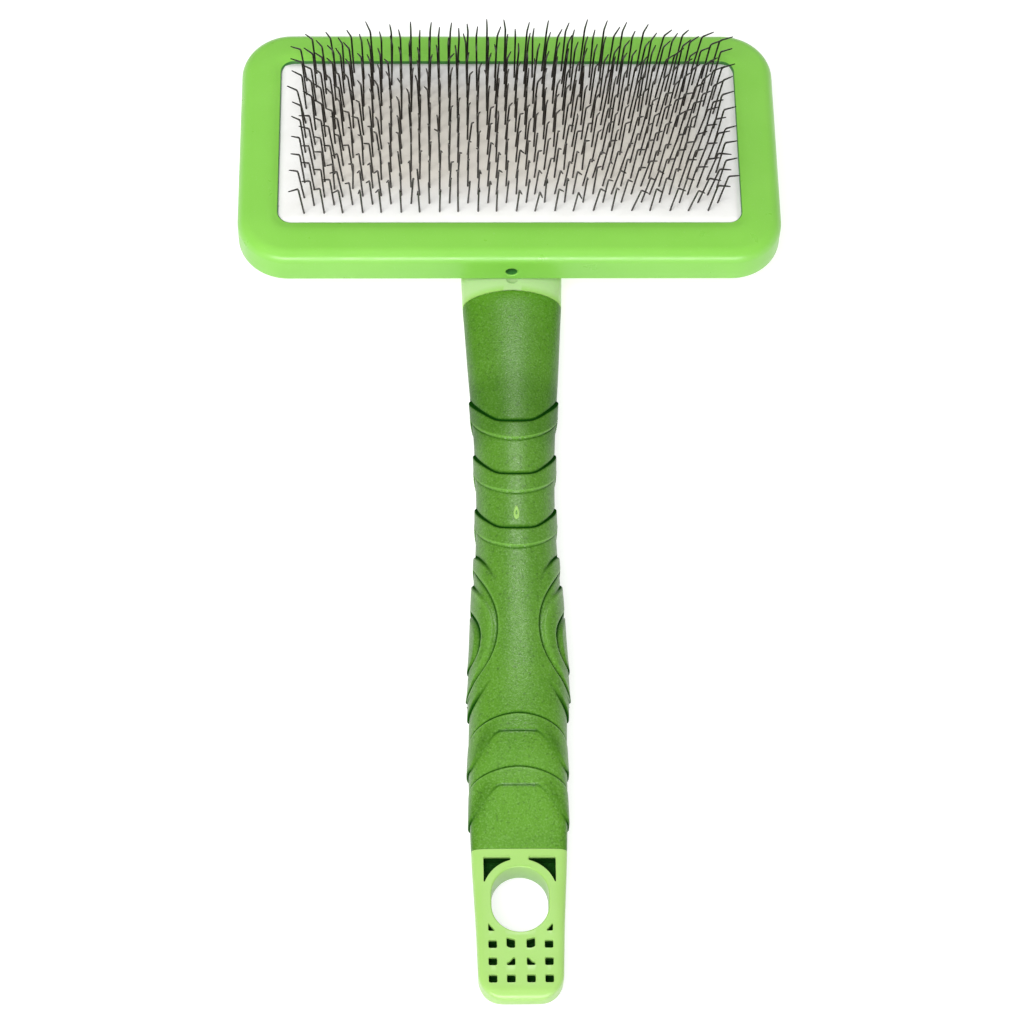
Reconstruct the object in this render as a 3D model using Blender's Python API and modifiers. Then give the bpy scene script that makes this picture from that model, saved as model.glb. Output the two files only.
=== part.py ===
"""Slicker brush: a long-pin grooming brush lying on its back with its pins up.

Frame of the model: metres, +Z up along the pins, +Y from the tail to the head, +X across the head.
The origin is on the surface that the brush lies on, under the middle of its box.

Pieces: head_frame (the bezel), handle_body (back shell, neck, core and tail in one moulding),
grip_sleeve (soft overmould), pin_pad, pad_backing, foam_cushion and one node for each row of pins.
"""

import math

import bmesh
import bpy
from mathutils import Vector

MM = 0.001

# ---------------------------------------------------------------- driving dimensions
BRUSH_LENGTH = 230.0 * MM
CLEARANCE = 0.3 * MM              # gap kept between pieces that touch on the real brush

HEAD_WIDTH = 120.0 * MM           # along X
HEAD_LENGTH = 62.0 * MM           # along Y
HEAD_CORNER_RADIUS = 11.2 * MM
CORNER_STEPS = 6                  # straight steps in each rounded corner of the head

FRAME_BACK_Z = 11.0 * MM
FRAME_FACE_Z = 20.5 * MM
FRAME_BAR = 9.0 * MM              # width of the bar around the window
FRAME_WALL = 2.4 * MM
FRAME_FLANGE = 1.2 * MM           # thickness of the lip that holds the pad
FRAME_EDGE_RADIUS = 3.2 * MM
FRAME_LIP_RADIUS = 0.7 * MM
WINDOW_CORNER_RADIUS = 3.0 * MM
VENT_RADIUS = 1.25 * MM
VENT_Z = 13.7 * MM

SHELL_WALL = 2.2 * MM
SHELL_ROUND = 12.0 * MM           # how far the back's edge rounds inward before it is flat
RIB_COUNT = 7
RIB_THICKNESS = 1.4 * MM
RIB_HEIGHT = 3.0 * MM

PAD_THICKNESS = 1.6 * MM
PAD_CROWN = 3.0 * MM              # rise of the domed pad at its middle
PAD_OVERLAP = 1.9 * MM            # how far the pad's edge sits on the shell's rim
BACKING_THICKNESS = 1.0 * MM

PIN_ROWS = 20
PIN_ROW_PITCH = 2.01 * MM
STAPLES_PER_ROW = 11
STAPLE_PITCH = 8.44 * MM
STAPLE_WIDTH = 4.4 * MM
STAGGER = 1.08 * MM               # sideways shift of even and odd rows
WIRE = 0.45 * MM
LEG_LENGTH = 12.8 * MM            # pad to knee
TIP_LENGTH = 6.2 * MM             # knee to tip
KNEE_ANGLE = math.radians(29.0)   # the tip leans this much towards the handle
FAN_X = math.radians(110.0)       # sideways splay of the legs, per metre from the pad's middle
FAN_Y = math.radians(620.0)       # splay along the handle, per metre
FAN_Y_LOSS = 0.55                 # share of FAN_Y lost where the dome flattens at its short edges
STRIP_HEIGHT = 0.9 * MM

SLEEVE_FRONT_Y = 50.3 * MM
SLEEVE_TAIL_Y = -83.6 * MM
SLEEVE_WALL = 2.0 * MM
NECK_ROOT_Y = 66.0 * MM           # the neck runs into the shell as far as here
SECTION_POINTS = 18
SECTION_PITCH = 6.0 * MM

TAIL_END_RADIUS = 4.5 * MM
TAIL_RIM = 1.2 * MM
TAIL_PLATE = 3.0 * MM             # thickness of the light plate over the soft backing
TAIL_RECESS_FRONT_Y = -81.0 * MM
HANG_HOLE_Y = -94.3 * MM
HANG_HOLE_RADIUS = 5.7 * MM
HANG_HOLE_STRAIGHT = 2.4 * MM
HANG_RING_RADIUS = 7.4 * MM       # the solid ring that the front pockets stop at
HANG_TUBE_RADIUS = 6.7 * MM       # the ring's wall where it passes through the soft backing
POCKET_COLUMNS = (-5.55 * MM, -1.97 * MM, 1.97 * MM, 5.55 * MM)
POCKET_ROWS = 4
POCKET_FIRST_Y = -100.2 * MM
POCKET_PITCH_Y = 3.6 * MM
POCKET_SIZE = 1.65 * MM
CORNER_POCKET_X = 7.2 * MM        # outer side of the two triangular pockets beside the ring
CORNER_POCKET_FRONT_X = 1.8 * MM
CORNER_POCKET_BACK_X = 6.4 * MM
CORNER_POCKET_Y = -85.3 * MM
CORNER_POCKET_LENGTH = 5.4 * MM
EJECTOR_PAD_X = 3.15 * MM
EJECTOR_PAD_Y = -106.0 * MM
EJECTOR_PAD_RADIUS = 1.7 * MM

# Handle sections from the neck to the tail: y, half width, underside z, top z, squareness.
# Squareness 2 is an ellipse, and larger numbers are nearer to a rectangle.
HANDLE_STATIONS = (
    (66.0 * MM, 11.4 * MM, 0.0 * MM, 10.7 * MM, 2.2),
    (52.0 * MM, 11.0 * MM, 0.0 * MM, 10.7 * MM, 2.2),
    (33.0 * MM, 10.0 * MM, 0.4 * MM, 12.4 * MM, 2.1),
    (12.0 * MM, 8.7 * MM, 0.8 * MM, 14.2 * MM, 2.1),
    (-8.0 * MM, 8.4 * MM, 0.7 * MM, 15.2 * MM, 2.1),
    (-30.0 * MM, 9.4 * MM, 0.2 * MM, 16.4 * MM, 2.2),
    (-50.0 * MM, 10.0 * MM, 0.0 * MM, 16.6 * MM, 2.4),
    (-68.0 * MM, 10.0 * MM, 1.4 * MM, 14.4 * MM, 3.2),
    (-84.0 * MM, 9.6 * MM, 4.6 * MM, 11.0 * MM, 6.0),
    (-100.0 * MM, 8.8 * MM, 4.6 * MM, 10.6 * MM, 7.0),
    (-115.0 * MM, 8.3 * MM, 4.8 * MM, 10.4 * MM, 7.0),
)

# ---------------------------------------------------------------- derived places
HEAD_FRONT_Y = BRUSH_LENGTH / 2.0
HEAD_Y = HEAD_FRONT_Y - HEAD_LENGTH / 2.0
HEAD_BACK_Y = HEAD_FRONT_Y - HEAD_LENGTH
TAIL_END_Y = -BRUSH_LENGTH / 2.0

WINDOW_HALF_X = HEAD_WIDTH / 2.0 - FRAME_BAR
WINDOW_HALF_Y = HEAD_LENGTH / 2.0 - FRAME_BAR
FLANGE_Z = FRAME_FACE_Z - FRAME_FLANGE
SHELL_TOP_Z = FLANGE_Z - PAD_THICKNESS - 2.0 * CLEARANCE
SHELL_INSET = FRAME_WALL + CLEARANCE
SHELL_LEDGE_Z = FRAME_BACK_Z - CLEARANCE
CAVITY_INSET = SHELL_INSET + SHELL_WALL

PAD_EDGE_Z = FLANGE_Z - CLEARANCE
PAD_INSET = CAVITY_INSET - PAD_OVERLAP
BACKING_EDGE_Z = PAD_EDGE_Z - PAD_THICKNESS - CLEARANCE
BACKING_INSET = CAVITY_INSET + 2.0 * CLEARANCE
FOAM_EDGE_Z = BACKING_EDGE_Z - BACKING_THICKNESS - CLEARANCE
FOAM_BOTTOM_Z = SHELL_WALL + RIB_HEIGHT + CLEARANCE
FOAM_INSET = CAVITY_INSET + 7.0 * CLEARANCE

SLOT_WIDTH = WIRE + 2.0 * CLEARANCE
ROW_HALF_LENGTH = ((STAPLES_PER_ROW - 1) * STAPLE_PITCH + STAPLE_WIDTH) / 2.0
SLOT_HALF_LENGTH = ROW_HALF_LENGTH + STAGGER + 1.0 * MM


# ---------------------------------------------------------------- scene helpers
def start_scene():
    """Empty the scene and return the collections for the parts and for the cutters."""
    for old in list(bpy.data.objects):
        bpy.data.objects.remove(old, do_unlink=True)
    collections = []
    for name in ("slicker_brush", "cutters"):
        collection = bpy.data.collections.new(name)
        bpy.context.scene.collection.children.link(collection)
        collections.append(collection)
    return collections


def make_material(name, color, roughness, metallic=0.0):
    material = bpy.data.materials.new(name)
    material.use_nodes = True
    shader = material.node_tree.nodes["Principled BSDF"]
    shader.inputs["Base Color"].default_value = (*color, 1.0)
    shader.inputs["Roughness"].default_value = roughness
    shader.inputs["Metallic"].default_value = metallic
    return material


def add_object(name, bm, collection, material=None):
    """Close the bmesh off as a mesh object with its faces pointing outward."""
    bmesh.ops.recalc_face_normals(bm, faces=bm.faces)
    mesh = bpy.data.meshes.new(name)
    bm.to_mesh(mesh)
    bm.free()
    if material is not None:
        mesh.materials.append(material)
        mesh.shade_smooth()
        mesh.set_sharp_from_angle(angle=math.radians(35.0))
    obj = bpy.data.objects.new(name, mesh)
    collection.objects.link(obj)
    return obj


def add_cutter(name, bm, collection):
    cutter = add_object(name, bm, collection)
    cutter.hide_render = True
    cutter.display_type = "WIRE"
    return cutter


def add_boolean(obj, other, operation):
    modifier = obj.modifiers.new(other.name, "BOOLEAN")
    modifier.operation = operation
    modifier.solver = "EXACT"
    modifier.object = other


# ---------------------------------------------------------------- shape helpers
def rounded_rectangle(half_x, half_y, radius, z):
    """Return the points of a rounded rectangle around the head's middle, at height z."""
    points = []
    for corner in range(4):
        side_x = 1 if corner in (0, 3) else -1
        side_y = 1 if corner in (0, 1) else -1
        for step in range(CORNER_STEPS + 1):
            angle = math.pi / 2.0 * (corner + step / CORNER_STEPS)
            x = side_x * (half_x - radius) + radius * math.cos(angle)
            y = side_y * (half_y - radius) + radius * math.sin(angle)
            points.append(Vector((x, HEAD_Y + y, z)))
    return points


def head_ring(inset, z):
    """Return the head's outline, moved inward by inset, at height z."""
    radius = max(HEAD_CORNER_RADIUS - inset, WINDOW_CORNER_RADIUS)
    return rounded_rectangle(HEAD_WIDTH / 2.0 - inset, HEAD_LENGTH / 2.0 - inset, radius, z)


def loft(rings, wrap=False):
    """Skin a list of rings, with flat ends, or joined end to start where wrap is true."""
    bm = bmesh.new()
    loops = []
    for ring in rings:
        loops.append([bm.verts.new(point) for point in ring])
    pairs = list(zip(loops, loops[1:]))
    if wrap:
        pairs.append((loops[-1], loops[0]))
    count = len(loops[0])
    for first, second in pairs:
        for i in range(count):
            j = (i + 1) % count
            bm.faces.new((first[i], first[j], second[j], second[i]))
    if not wrap:
        bm.faces.new(loops[0])
        bm.faces.new(loops[-1])
    return bm


def add_box(bm, center, size):
    """Add a box to the bmesh."""
    verts = bmesh.ops.create_cube(bm, size=1.0)["verts"]
    bmesh.ops.scale(bm, vec=size, verts=verts)
    bmesh.ops.translate(bm, vec=center, verts=verts)


def add_cylinder(bm, center, radius, depth, segments, axis="Z"):
    """Add a cylinder along Z or Y to the bmesh."""
    made = bmesh.ops.create_cone(
        bm, cap_ends=True, segments=segments, radius1=radius, radius2=radius, depth=depth
    )
    for vert in made["verts"]:
        if axis == "Y":
            vert.co = Vector((vert.co.x, -vert.co.z, vert.co.y))
        vert.co += Vector(center)


def station_value(y, column):
    """Read one column of HANDLE_STATIONS at y, on a smooth curve through the stations."""
    last = len(HANDLE_STATIONS) - 2
    index = 0
    while index < last and y < HANDLE_STATIONS[index + 1][0]:
        index += 1
    y0 = HANDLE_STATIONS[index][0]
    y1 = HANDLE_STATIONS[index + 1][0]
    v0 = HANDLE_STATIONS[index][column]
    v1 = HANDLE_STATIONS[index + 1][column]

    def slope(i):
        before = HANDLE_STATIONS[max(i - 1, 0)]
        after = HANDLE_STATIONS[min(i + 1, last + 1)]
        return (after[column] - before[column]) / (after[0] - before[0])

    t = (y - y0) / (y1 - y0)
    step = y1 - y0
    return (
        (2 * t**3 - 3 * t**2 + 1) * v0
        + (t**3 - 2 * t**2 + t) * step * slope(index)
        + (3 * t**2 - 2 * t**3) * v1
        + (t**3 - t**2) * step * slope(index + 1)
    )


def handle_section(y, shrink=0.0):
    """Return the handle's cross-section at y, made smaller all round by shrink."""
    half_x = station_value(y, 1)
    bottom = station_value(y, 2)
    top = station_value(y, 3)
    power = 2.0 / station_value(y, 4)
    into_end = TAIL_END_RADIUS - (y - TAIL_END_Y)
    if into_end > 0.0:
        half_x -= TAIL_END_RADIUS - math.sqrt(max(TAIL_END_RADIUS**2 - into_end**2, 0.0))
    middle = (bottom + top) / 2.0
    half_x -= shrink
    half_z = (top - bottom) / 2.0 - shrink
    points = []
    for i in range(SECTION_POINTS):
        angle = 2.0 * math.pi * (i + 0.5) / SECTION_POINTS
        cosine = math.cos(angle)
        sine = math.sin(angle)
        x = half_x * math.copysign(abs(cosine) ** power, cosine)
        z = middle + half_z * math.copysign(abs(sine) ** power, sine)
        points.append(Vector((x, y, z)))
    return points


def handle_sections(start_y, end_y, shrink=0.0):
    """Return cross-sections from start_y to end_y at about SECTION_PITCH."""
    steps = max(1, round(abs(end_y - start_y) / SECTION_PITCH))
    places = [start_y + (end_y - start_y) * i / steps for i in range(steps + 1)]
    return [handle_section(y, shrink) for y in places]


def hang_outline(radius, z):
    """Return the outline of the hanging hole, or of the ring around it, at height z."""
    points = []
    half_turn_steps = 12
    for end in (1, -1):
        center_y = HANG_HOLE_Y + end * HANG_HOLE_STRAIGHT / 2.0
        for step in range(half_turn_steps + 1):
            angle = math.pi * step / half_turn_steps
            x = end * radius * math.cos(angle)
            y = center_y + end * radius * math.sin(angle)
            points.append(Vector((x, y, z)))
    return points


def hang_prism(radius, bottom_z, top_z):
    return loft([hang_outline(radius, bottom_z), hang_outline(radius, top_z)])


def tail_backing_outline(inset, z):
    """Return the outline of the recess in the tail's back, moved inward by inset."""
    front_y = TAIL_RECESS_FRONT_Y - inset
    end_y = TAIL_END_Y + TAIL_RIM + inset
    corner = TAIL_END_RADIUS - TAIL_RIM
    points = []
    places = [front_y, (front_y + end_y) / 2.0, end_y + corner]
    for y in places:
        points.append(Vector((station_value(y, 1) - TAIL_RIM - inset, y, z)))
    end_half_x = station_value(end_y, 1) - TAIL_RIM - inset
    corner_cut = corner * (1.0 - math.sqrt(0.5))
    points.append(Vector((end_half_x - corner_cut, end_y + corner_cut, z)))
    points.append(Vector((end_half_x - corner, end_y, z)))
    mirrored = [Vector((-point.x, point.y, point.z)) for point in reversed(points)]
    return points + mirrored


def dome_rise(x, y):
    """Return how far the pad's dome rises at x, y, counted from the head's middle."""
    across = max(0.0, 1.0 - abs(x / WINDOW_HALF_X) ** 2.2)
    along = max(0.0, 1.0 - abs(y / WINDOW_HALF_Y) ** 2.0)
    return PAD_CROWN * across * along


def row_place(row):
    """Return a pin row's y, counted from the head's middle."""
    return (row - (PIN_ROWS - 1) / 2.0) * PIN_ROW_PITCH


def domed_sheet(inset, edge_z, lines_x, lines_y):
    """Return a domed grid over the head's middle, with its four corners taken off."""
    half_x = HEAD_WIDTH / 2.0 - inset
    half_y = HEAD_LENGTH / 2.0 - inset
    lines_x = [-half_x, *lines_x, half_x]
    lines_y = [-half_y, *lines_y, half_y]
    columns = len(lines_x) - 1
    rows = len(lines_y) - 1
    bm = bmesh.new()
    bmesh.ops.create_grid(bm, x_segments=columns, y_segments=rows, size=1.0)
    corner_cut = (HEAD_CORNER_RADIUS - inset) * (1.0 - math.sqrt(0.5)) + CLEARANCE
    for vert in bm.verts:
        i = round((vert.co.x + 1.0) / 2.0 * columns)
        j = round((vert.co.y + 1.0) / 2.0 * rows)
        x = lines_x[i]
        y = lines_y[j]
        if i in (0, columns) and j in (0, rows):
            x -= math.copysign(corner_cut, x)
            y -= math.copysign(corner_cut, y)
        vert.co = Vector((x, HEAD_Y + y, edge_z + dome_rise(x, y)))
    return bm


def even_lines(half, count):
    return [-half + 2.0 * half * i / (count - 1) for i in range(count)]


# ---------------------------------------------------------------- the pieces
def build_head_frame(parts, cutters):
    """Bezel: outer wall, rounded front edge, flat face and the lip around the window."""
    material = make_material("frame_green", (0.24, 0.68, 0.09), 0.35)
    edge = FRAME_EDGE_RADIUS
    lip = FRAME_LIP_RADIUS
    profile = [(0.0, FRAME_BACK_Z), (0.0, FRAME_FACE_Z - edge)]
    for degrees in (30.0, 60.0, 90.0):
        angle = math.radians(degrees)
        inset = edge * (1.0 - math.cos(angle))
        profile.append((inset, FRAME_FACE_Z - edge + edge * math.sin(angle)))
    profile += [
        (FRAME_BAR - lip, FRAME_FACE_Z),
        (FRAME_BAR - 0.3 * lip, FRAME_FACE_Z - 0.3 * lip),
        (FRAME_BAR, FRAME_FACE_Z - lip),
        (FRAME_BAR, FLANGE_Z),
        (FRAME_WALL, FLANGE_Z),
        (FRAME_WALL, FRAME_BACK_Z),
    ]
    bm = loft([head_ring(inset, z) for inset, z in profile], wrap=True)
    frame = add_object("head_frame", bm, parts, material)

    bm = bmesh.new()
    center = (0.0, HEAD_BACK_Y + FRAME_WALL / 2.0, VENT_Z)
    add_cylinder(bm, center, VENT_RADIUS, 2.0 * FRAME_WALL, 16, axis="Y")
    add_boolean(frame, add_cutter("vent_drill", bm, cutters), "DIFFERENCE")


def shell_rings(extra_inset, bottom_z, top_z):
    """Return the rings of the rounded back, from its flat bottom to its straight rim."""
    rings = []
    for degrees in (90.0, 68.0, 48.0, 30.0, 14.0, 0.0):
        angle = math.radians(degrees)
        z = SHELL_LEDGE_Z * (1.0 - math.sin(angle))
        inset = SHELL_INSET + SHELL_ROUND * (1.0 - math.cos(angle))
        rings.append(head_ring(inset + extra_inset, max(z, bottom_z)))
    rings.append(head_ring(SHELL_INSET + extra_inset, top_z))
    return rings


def pocket_cutter(cutters):
    """Pockets through the tail's front plate, stopped by the ring and the ejector pads."""
    low = TAIL_MIDDLE_Z
    high = TAIL_TOP_Z + 1.0 * MM
    middle = (low + high) / 2.0
    height = high - low
    bm = bmesh.new()
    for x in POCKET_COLUMNS:
        inner = abs(x) < POCKET_COLUMNS[-1]
        for row in range(POCKET_ROWS):
            y = POCKET_FIRST_Y - row * POCKET_PITCH_Y
            length = POCKET_SIZE
            if inner and row == 0:
                continue
            if inner and row == 1:
                y += POCKET_SIZE / 2.0
                length += POCKET_SIZE
            add_box(bm, (x, y, middle), (POCKET_SIZE, length, height))
    for side in (1, -1):
        outline = (
            (side * CORNER_POCKET_X, CORNER_POCKET_Y),
            (side * CORNER_POCKET_FRONT_X, CORNER_POCKET_Y),
            (side * CORNER_POCKET_BACK_X, CORNER_POCKET_Y - CORNER_POCKET_LENGTH),
            (side * CORNER_POCKET_X, CORNER_POCKET_Y - CORNER_POCKET_LENGTH),
        )
        face = bm.faces.new([bm.verts.new((x, y, low)) for x, y in outline])
        grown = bmesh.ops.extrude_face_region(bm, geom=[face])
        verts = [item for item in grown["geom"] if isinstance(item, bmesh.types.BMVert)]
        bmesh.ops.translate(bm, vec=(0.0, 0.0, height), verts=verts)
    pockets = add_cutter("tail_pockets", bm, cutters)

    ring = hang_prism(HANG_RING_RADIUS, low - 1.0 * MM, high + 1.0 * MM)
    add_boolean(pockets, add_cutter("ring_keep", ring, cutters), "DIFFERENCE")
    bm = bmesh.new()
    for side in (1, -1):
        center = (side * EJECTOR_PAD_X, EJECTOR_PAD_Y, middle)
        add_cylinder(bm, center, EJECTOR_PAD_RADIUS, height + 2.0 * MM, 16)
    add_boolean(pockets, add_cutter("ejector_keep", bm, cutters), "DIFFERENCE")
    return pockets


def tail_recess(name, inset, top_z, ring_radius, bottom_z, cutters):
    """Solid that fills the tail's back around the hanging ring."""
    outline_low = tail_backing_outline(inset, bottom_z)
    outline_high = tail_backing_outline(inset, top_z)
    recess = add_cutter(name, loft([outline_low, outline_high]), cutters)
    ring = hang_prism(ring_radius, bottom_z - 1.0 * MM, top_z + 1.0 * MM)
    add_boolean(recess, add_cutter(name + "_ring", ring, cutters), "DIFFERENCE")
    return recess


def build_handle_body(parts, cutters):
    """Back shell, neck, core and tail: one light moulding."""
    material = make_material("handle_green", (0.48, 0.88, 0.24), 0.38)
    core_shrink = SLEEVE_WALL + CLEARANCE
    front = SLEEVE_FRONT_Y + CLEARANCE
    tail = SLEEVE_TAIL_Y - CLEARANCE
    rings = handle_sections(NECK_ROOT_Y, front)
    rings += handle_sections(front, tail, core_shrink)
    rings += handle_sections(tail, TAIL_END_Y + TAIL_END_RADIUS)
    for share in (0.6, 0.3, 0.1, 0.0):
        rings.append(handle_section(TAIL_END_Y + TAIL_END_RADIUS * share))
    body = add_object("handle_body", loft(rings), parts, material)

    shell = loft(shell_rings(0.0, 0.0, SHELL_TOP_Z))
    add_boolean(body, add_cutter("shell_form", shell, cutters), "UNION")
    cavity = loft(shell_rings(SHELL_WALL, SHELL_WALL, SHELL_TOP_Z + 1.0 * MM))
    add_boolean(body, add_cutter("shell_cavity", cavity, cutters), "DIFFERENCE")

    bm = bmesh.new()
    rib_half_y = HEAD_LENGTH / 2.0 - SHELL_INSET - 0.65 * SHELL_ROUND
    rib_pitch = 2.0 * (WINDOW_HALF_X - SHELL_ROUND) / (RIB_COUNT - 1)
    for i in range(RIB_COUNT):
        x = (i - (RIB_COUNT - 1) / 2.0) * rib_pitch
        low = SHELL_WALL / 2.0
        high = SHELL_WALL + RIB_HEIGHT
        size = (RIB_THICKNESS, 2.0 * rib_half_y, high - low)
        add_box(bm, (x, HEAD_Y, (low + high) / 2.0), size)
    add_boolean(body, add_cutter("shell_ribs", bm, cutters), "UNION")

    recess_top = TAIL_TOP_Z - TAIL_PLATE
    recess = tail_recess("backing_recess", 0.0, recess_top, HANG_TUBE_RADIUS, 0.0, cutters)
    add_boolean(body, recess, "DIFFERENCE")
    add_boolean(body, pocket_cutter(cutters), "DIFFERENCE")
    hole = hang_prism(HANG_HOLE_RADIUS, 0.0, TAIL_TOP_Z + 4.0 * MM)
    add_boolean(body, add_cutter("hang_hole", hole, cutters), "DIFFERENCE")


def build_grip_sleeve(parts, cutters):
    """Soft sleeve around the core, with a tongue that fills the tail's back."""
    material = make_material("grip_green", (0.09, 0.27, 0.03), 0.65)
    outer = handle_sections(SLEEVE_FRONT_Y, SLEEVE_TAIL_Y)
    inner = handle_sections(SLEEVE_TAIL_Y, SLEEVE_FRONT_Y, SLEEVE_WALL)
    sleeve = add_object("grip_sleeve", loft(outer + inner, wrap=True), parts, material)
    tongue = tail_recess(
        "tongue",
        CLEARANCE,
        TAIL_TOP_Z - TAIL_PLATE - CLEARANCE,
        HANG_TUBE_RADIUS + CLEARANCE,
        TAIL_BOTTOM_Z,
        cutters,
    )
    add_boolean(sleeve, tongue, "UNION")


def build_pin_pad(parts):
    """Domed laminate with one slot for each row of staples."""
    material = make_material("pad_white", (0.86, 0.86, 0.84), 0.6)
    lines_x = even_lines(SLOT_HALF_LENGTH, 7)
    lines_y = []
    for row in range(PIN_ROWS):
        lines_y.append(row_place(row) - SLOT_WIDTH / 2.0)
        lines_y.append(row_place(row) + SLOT_WIDTH / 2.0)
    shoulder_x = WINDOW_HALF_X
    shoulder_y = WINDOW_HALF_Y
    bm = domed_sheet(
        PAD_INSET,
        PAD_EDGE_Z,
        [-shoulder_x, *lines_x, shoulder_x],
        [-shoulder_y, *lines_y, shoulder_y],
    )
    slots = []
    for face in bm.faces:
        center = face.calc_center_median()
        if abs(center.x) > SLOT_HALF_LENGTH:
            continue
        for row in range(PIN_ROWS):
            if abs(center.y - HEAD_Y - row_place(row)) < SLOT_WIDTH / 4.0:
                slots.append(face)
    bmesh.ops.delete(bm, geom=slots, context="FACES")
    pad = add_object("pin_pad", bm, parts, material)
    thicken(pad, PAD_THICKNESS)


def thicken(obj, thickness):
    """Give a sheet its thickness below itself."""
    modifier = obj.modifiers.new("thickness", "SOLIDIFY")
    modifier.thickness = thickness
    modifier.offset = -1.0


def build_pad_backing(parts):
    """Felt that covers the backs of the staples."""
    material = make_material("felt_grey", (0.45, 0.45, 0.44), 0.95)
    lines_x = even_lines(WINDOW_HALF_X - 1.0 * MM, 9)
    lines_y = even_lines(WINDOW_HALF_Y - 1.0 * MM, 7)
    bm = domed_sheet(BACKING_INSET, BACKING_EDGE_Z, lines_x, lines_y)
    backing = add_object("pad_backing", bm, parts, material)
    thicken(backing, BACKING_THICKNESS)


def build_foam_cushion(parts):
    """Soft block between the shell's ribs and the backing, with a domed top."""
    material = make_material("foam_cream", (0.78, 0.74, 0.6), 0.95)
    lines_x = even_lines(WINDOW_HALF_X - 4.0 * MM, 9)
    lines_y = even_lines(WINDOW_HALF_Y - 3.0 * MM, 7)
    bm = domed_sheet(FOAM_INSET, FOAM_EDGE_Z, lines_x, lines_y)
    grown = bmesh.ops.extrude_face_region(bm, geom=list(bm.faces))
    for item in grown["geom"]:
        if isinstance(item, bmesh.types.BMVert):
            item.co.z = FOAM_BOTTOM_Z
    add_object("foam_cushion", bm, parts, material)


def leg_direction(x, y, bend):
    """Return the unit direction of a wire at x, y, bent towards the handle by bend."""
    side = FAN_X * x
    along = FAN_Y * y * (1.0 - FAN_Y_LOSS * abs(x / WINDOW_HALF_X) ** 3.0) - bend
    return Vector((math.sin(side), math.sin(along) * math.cos(side), math.cos(along) * math.cos(side)))


def build_pin_row(row, parts, material):
    """One row of staples: their crowns as a strip in the pad's slot, and their bent legs."""
    y = row_place(row)
    shift = STAGGER if row % 2 else -STAGGER
    places = []
    for staple in range(STAPLES_PER_ROW):
        first = -ROW_HALF_LENGTH + shift + staple * STAPLE_PITCH
        places += [first, first + STAPLE_WIDTH]
    edges = [places[0] - WIRE]
    for x in places:
        edges += [x - WIRE / 2.0, x + WIRE / 2.0]
    edges.append(places[-1] + WIRE)

    bm = bmesh.new()
    cells = len(edges) - 1
    bmesh.ops.create_grid(bm, x_segments=cells, y_segments=1, size=1.0)
    for vert in bm.verts:
        x = edges[round((vert.co.x + 1.0) / 2.0 * cells)]
        z = PAD_EDGE_Z + dome_rise(x, y) - CLEARANCE
        vert.co = Vector((x, HEAD_Y + y + math.copysign(WIRE / 2.0, vert.co.y), z))
    tops = list(bm.faces)
    grown = bmesh.ops.extrude_face_region(bm, geom=tops, use_keep_orig=True)
    below = [item for item in grown["geom"] if isinstance(item, bmesh.types.BMVert)]
    bmesh.ops.translate(bm, vec=(0.0, 0.0, -STRIP_HEIGHT), verts=below)

    legs = []
    for face in tops:
        center_x = face.calc_center_median().x
        if min(abs(center_x - x) for x in places) < WIRE / 4.0:
            legs.append(face)
    root_xs = [face.calc_center_median().x for face in legs]
    for length, bend in ((LEG_LENGTH, 0.0), (TIP_LENGTH, KNEE_ANGLE)):
        legs = bmesh.ops.extrude_discrete_faces(bm, faces=legs)["faces"]
        for face, root_x in zip(legs, root_xs):
            reach = leg_direction(root_x, y, bend) * length
            bmesh.ops.translate(bm, vec=reach, verts=face.verts)
    for face in legs:
        point = face.calc_center_median()
        bmesh.ops.pointmerge(bm, verts=face.verts, merge_co=point)
    bmesh.ops.dissolve_limit(
        bm, angle_limit=math.radians(1.0), verts=list(bm.verts), edges=list(bm.edges)
    )
    add_object(f"pin_row_{row + 1:02d}", bm, parts, material)


TAIL_TOP_Z = station_value(HANG_HOLE_Y, 3)
TAIL_BOTTOM_Z = station_value(HANG_HOLE_Y, 2)
TAIL_MIDDLE_Z = (TAIL_TOP_Z + TAIL_BOTTOM_Z) / 2.0 - 0.6 * MM


def main():
    parts, cutters = start_scene()
    build_head_frame(parts, cutters)
    build_handle_body(parts, cutters)
    build_grip_sleeve(parts, cutters)
    build_pin_pad(parts)
    build_pad_backing(parts)
    build_foam_cushion(parts)
    steel = make_material("pin_steel", (0.12, 0.12, 0.13), 0.3, metallic=1.0)
    for row in range(PIN_ROWS):
        build_pin_row(row, parts, steel)


main()
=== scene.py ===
"""Looks of the slicker brush: every visible piece in fine detail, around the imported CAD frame."""

import random
from math import copysign, cos, exp, hypot, pi, radians, sin, sqrt

import bmesh
import bpy
import numpy as np
from mathutils import Euler, Matrix, Vector


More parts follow.
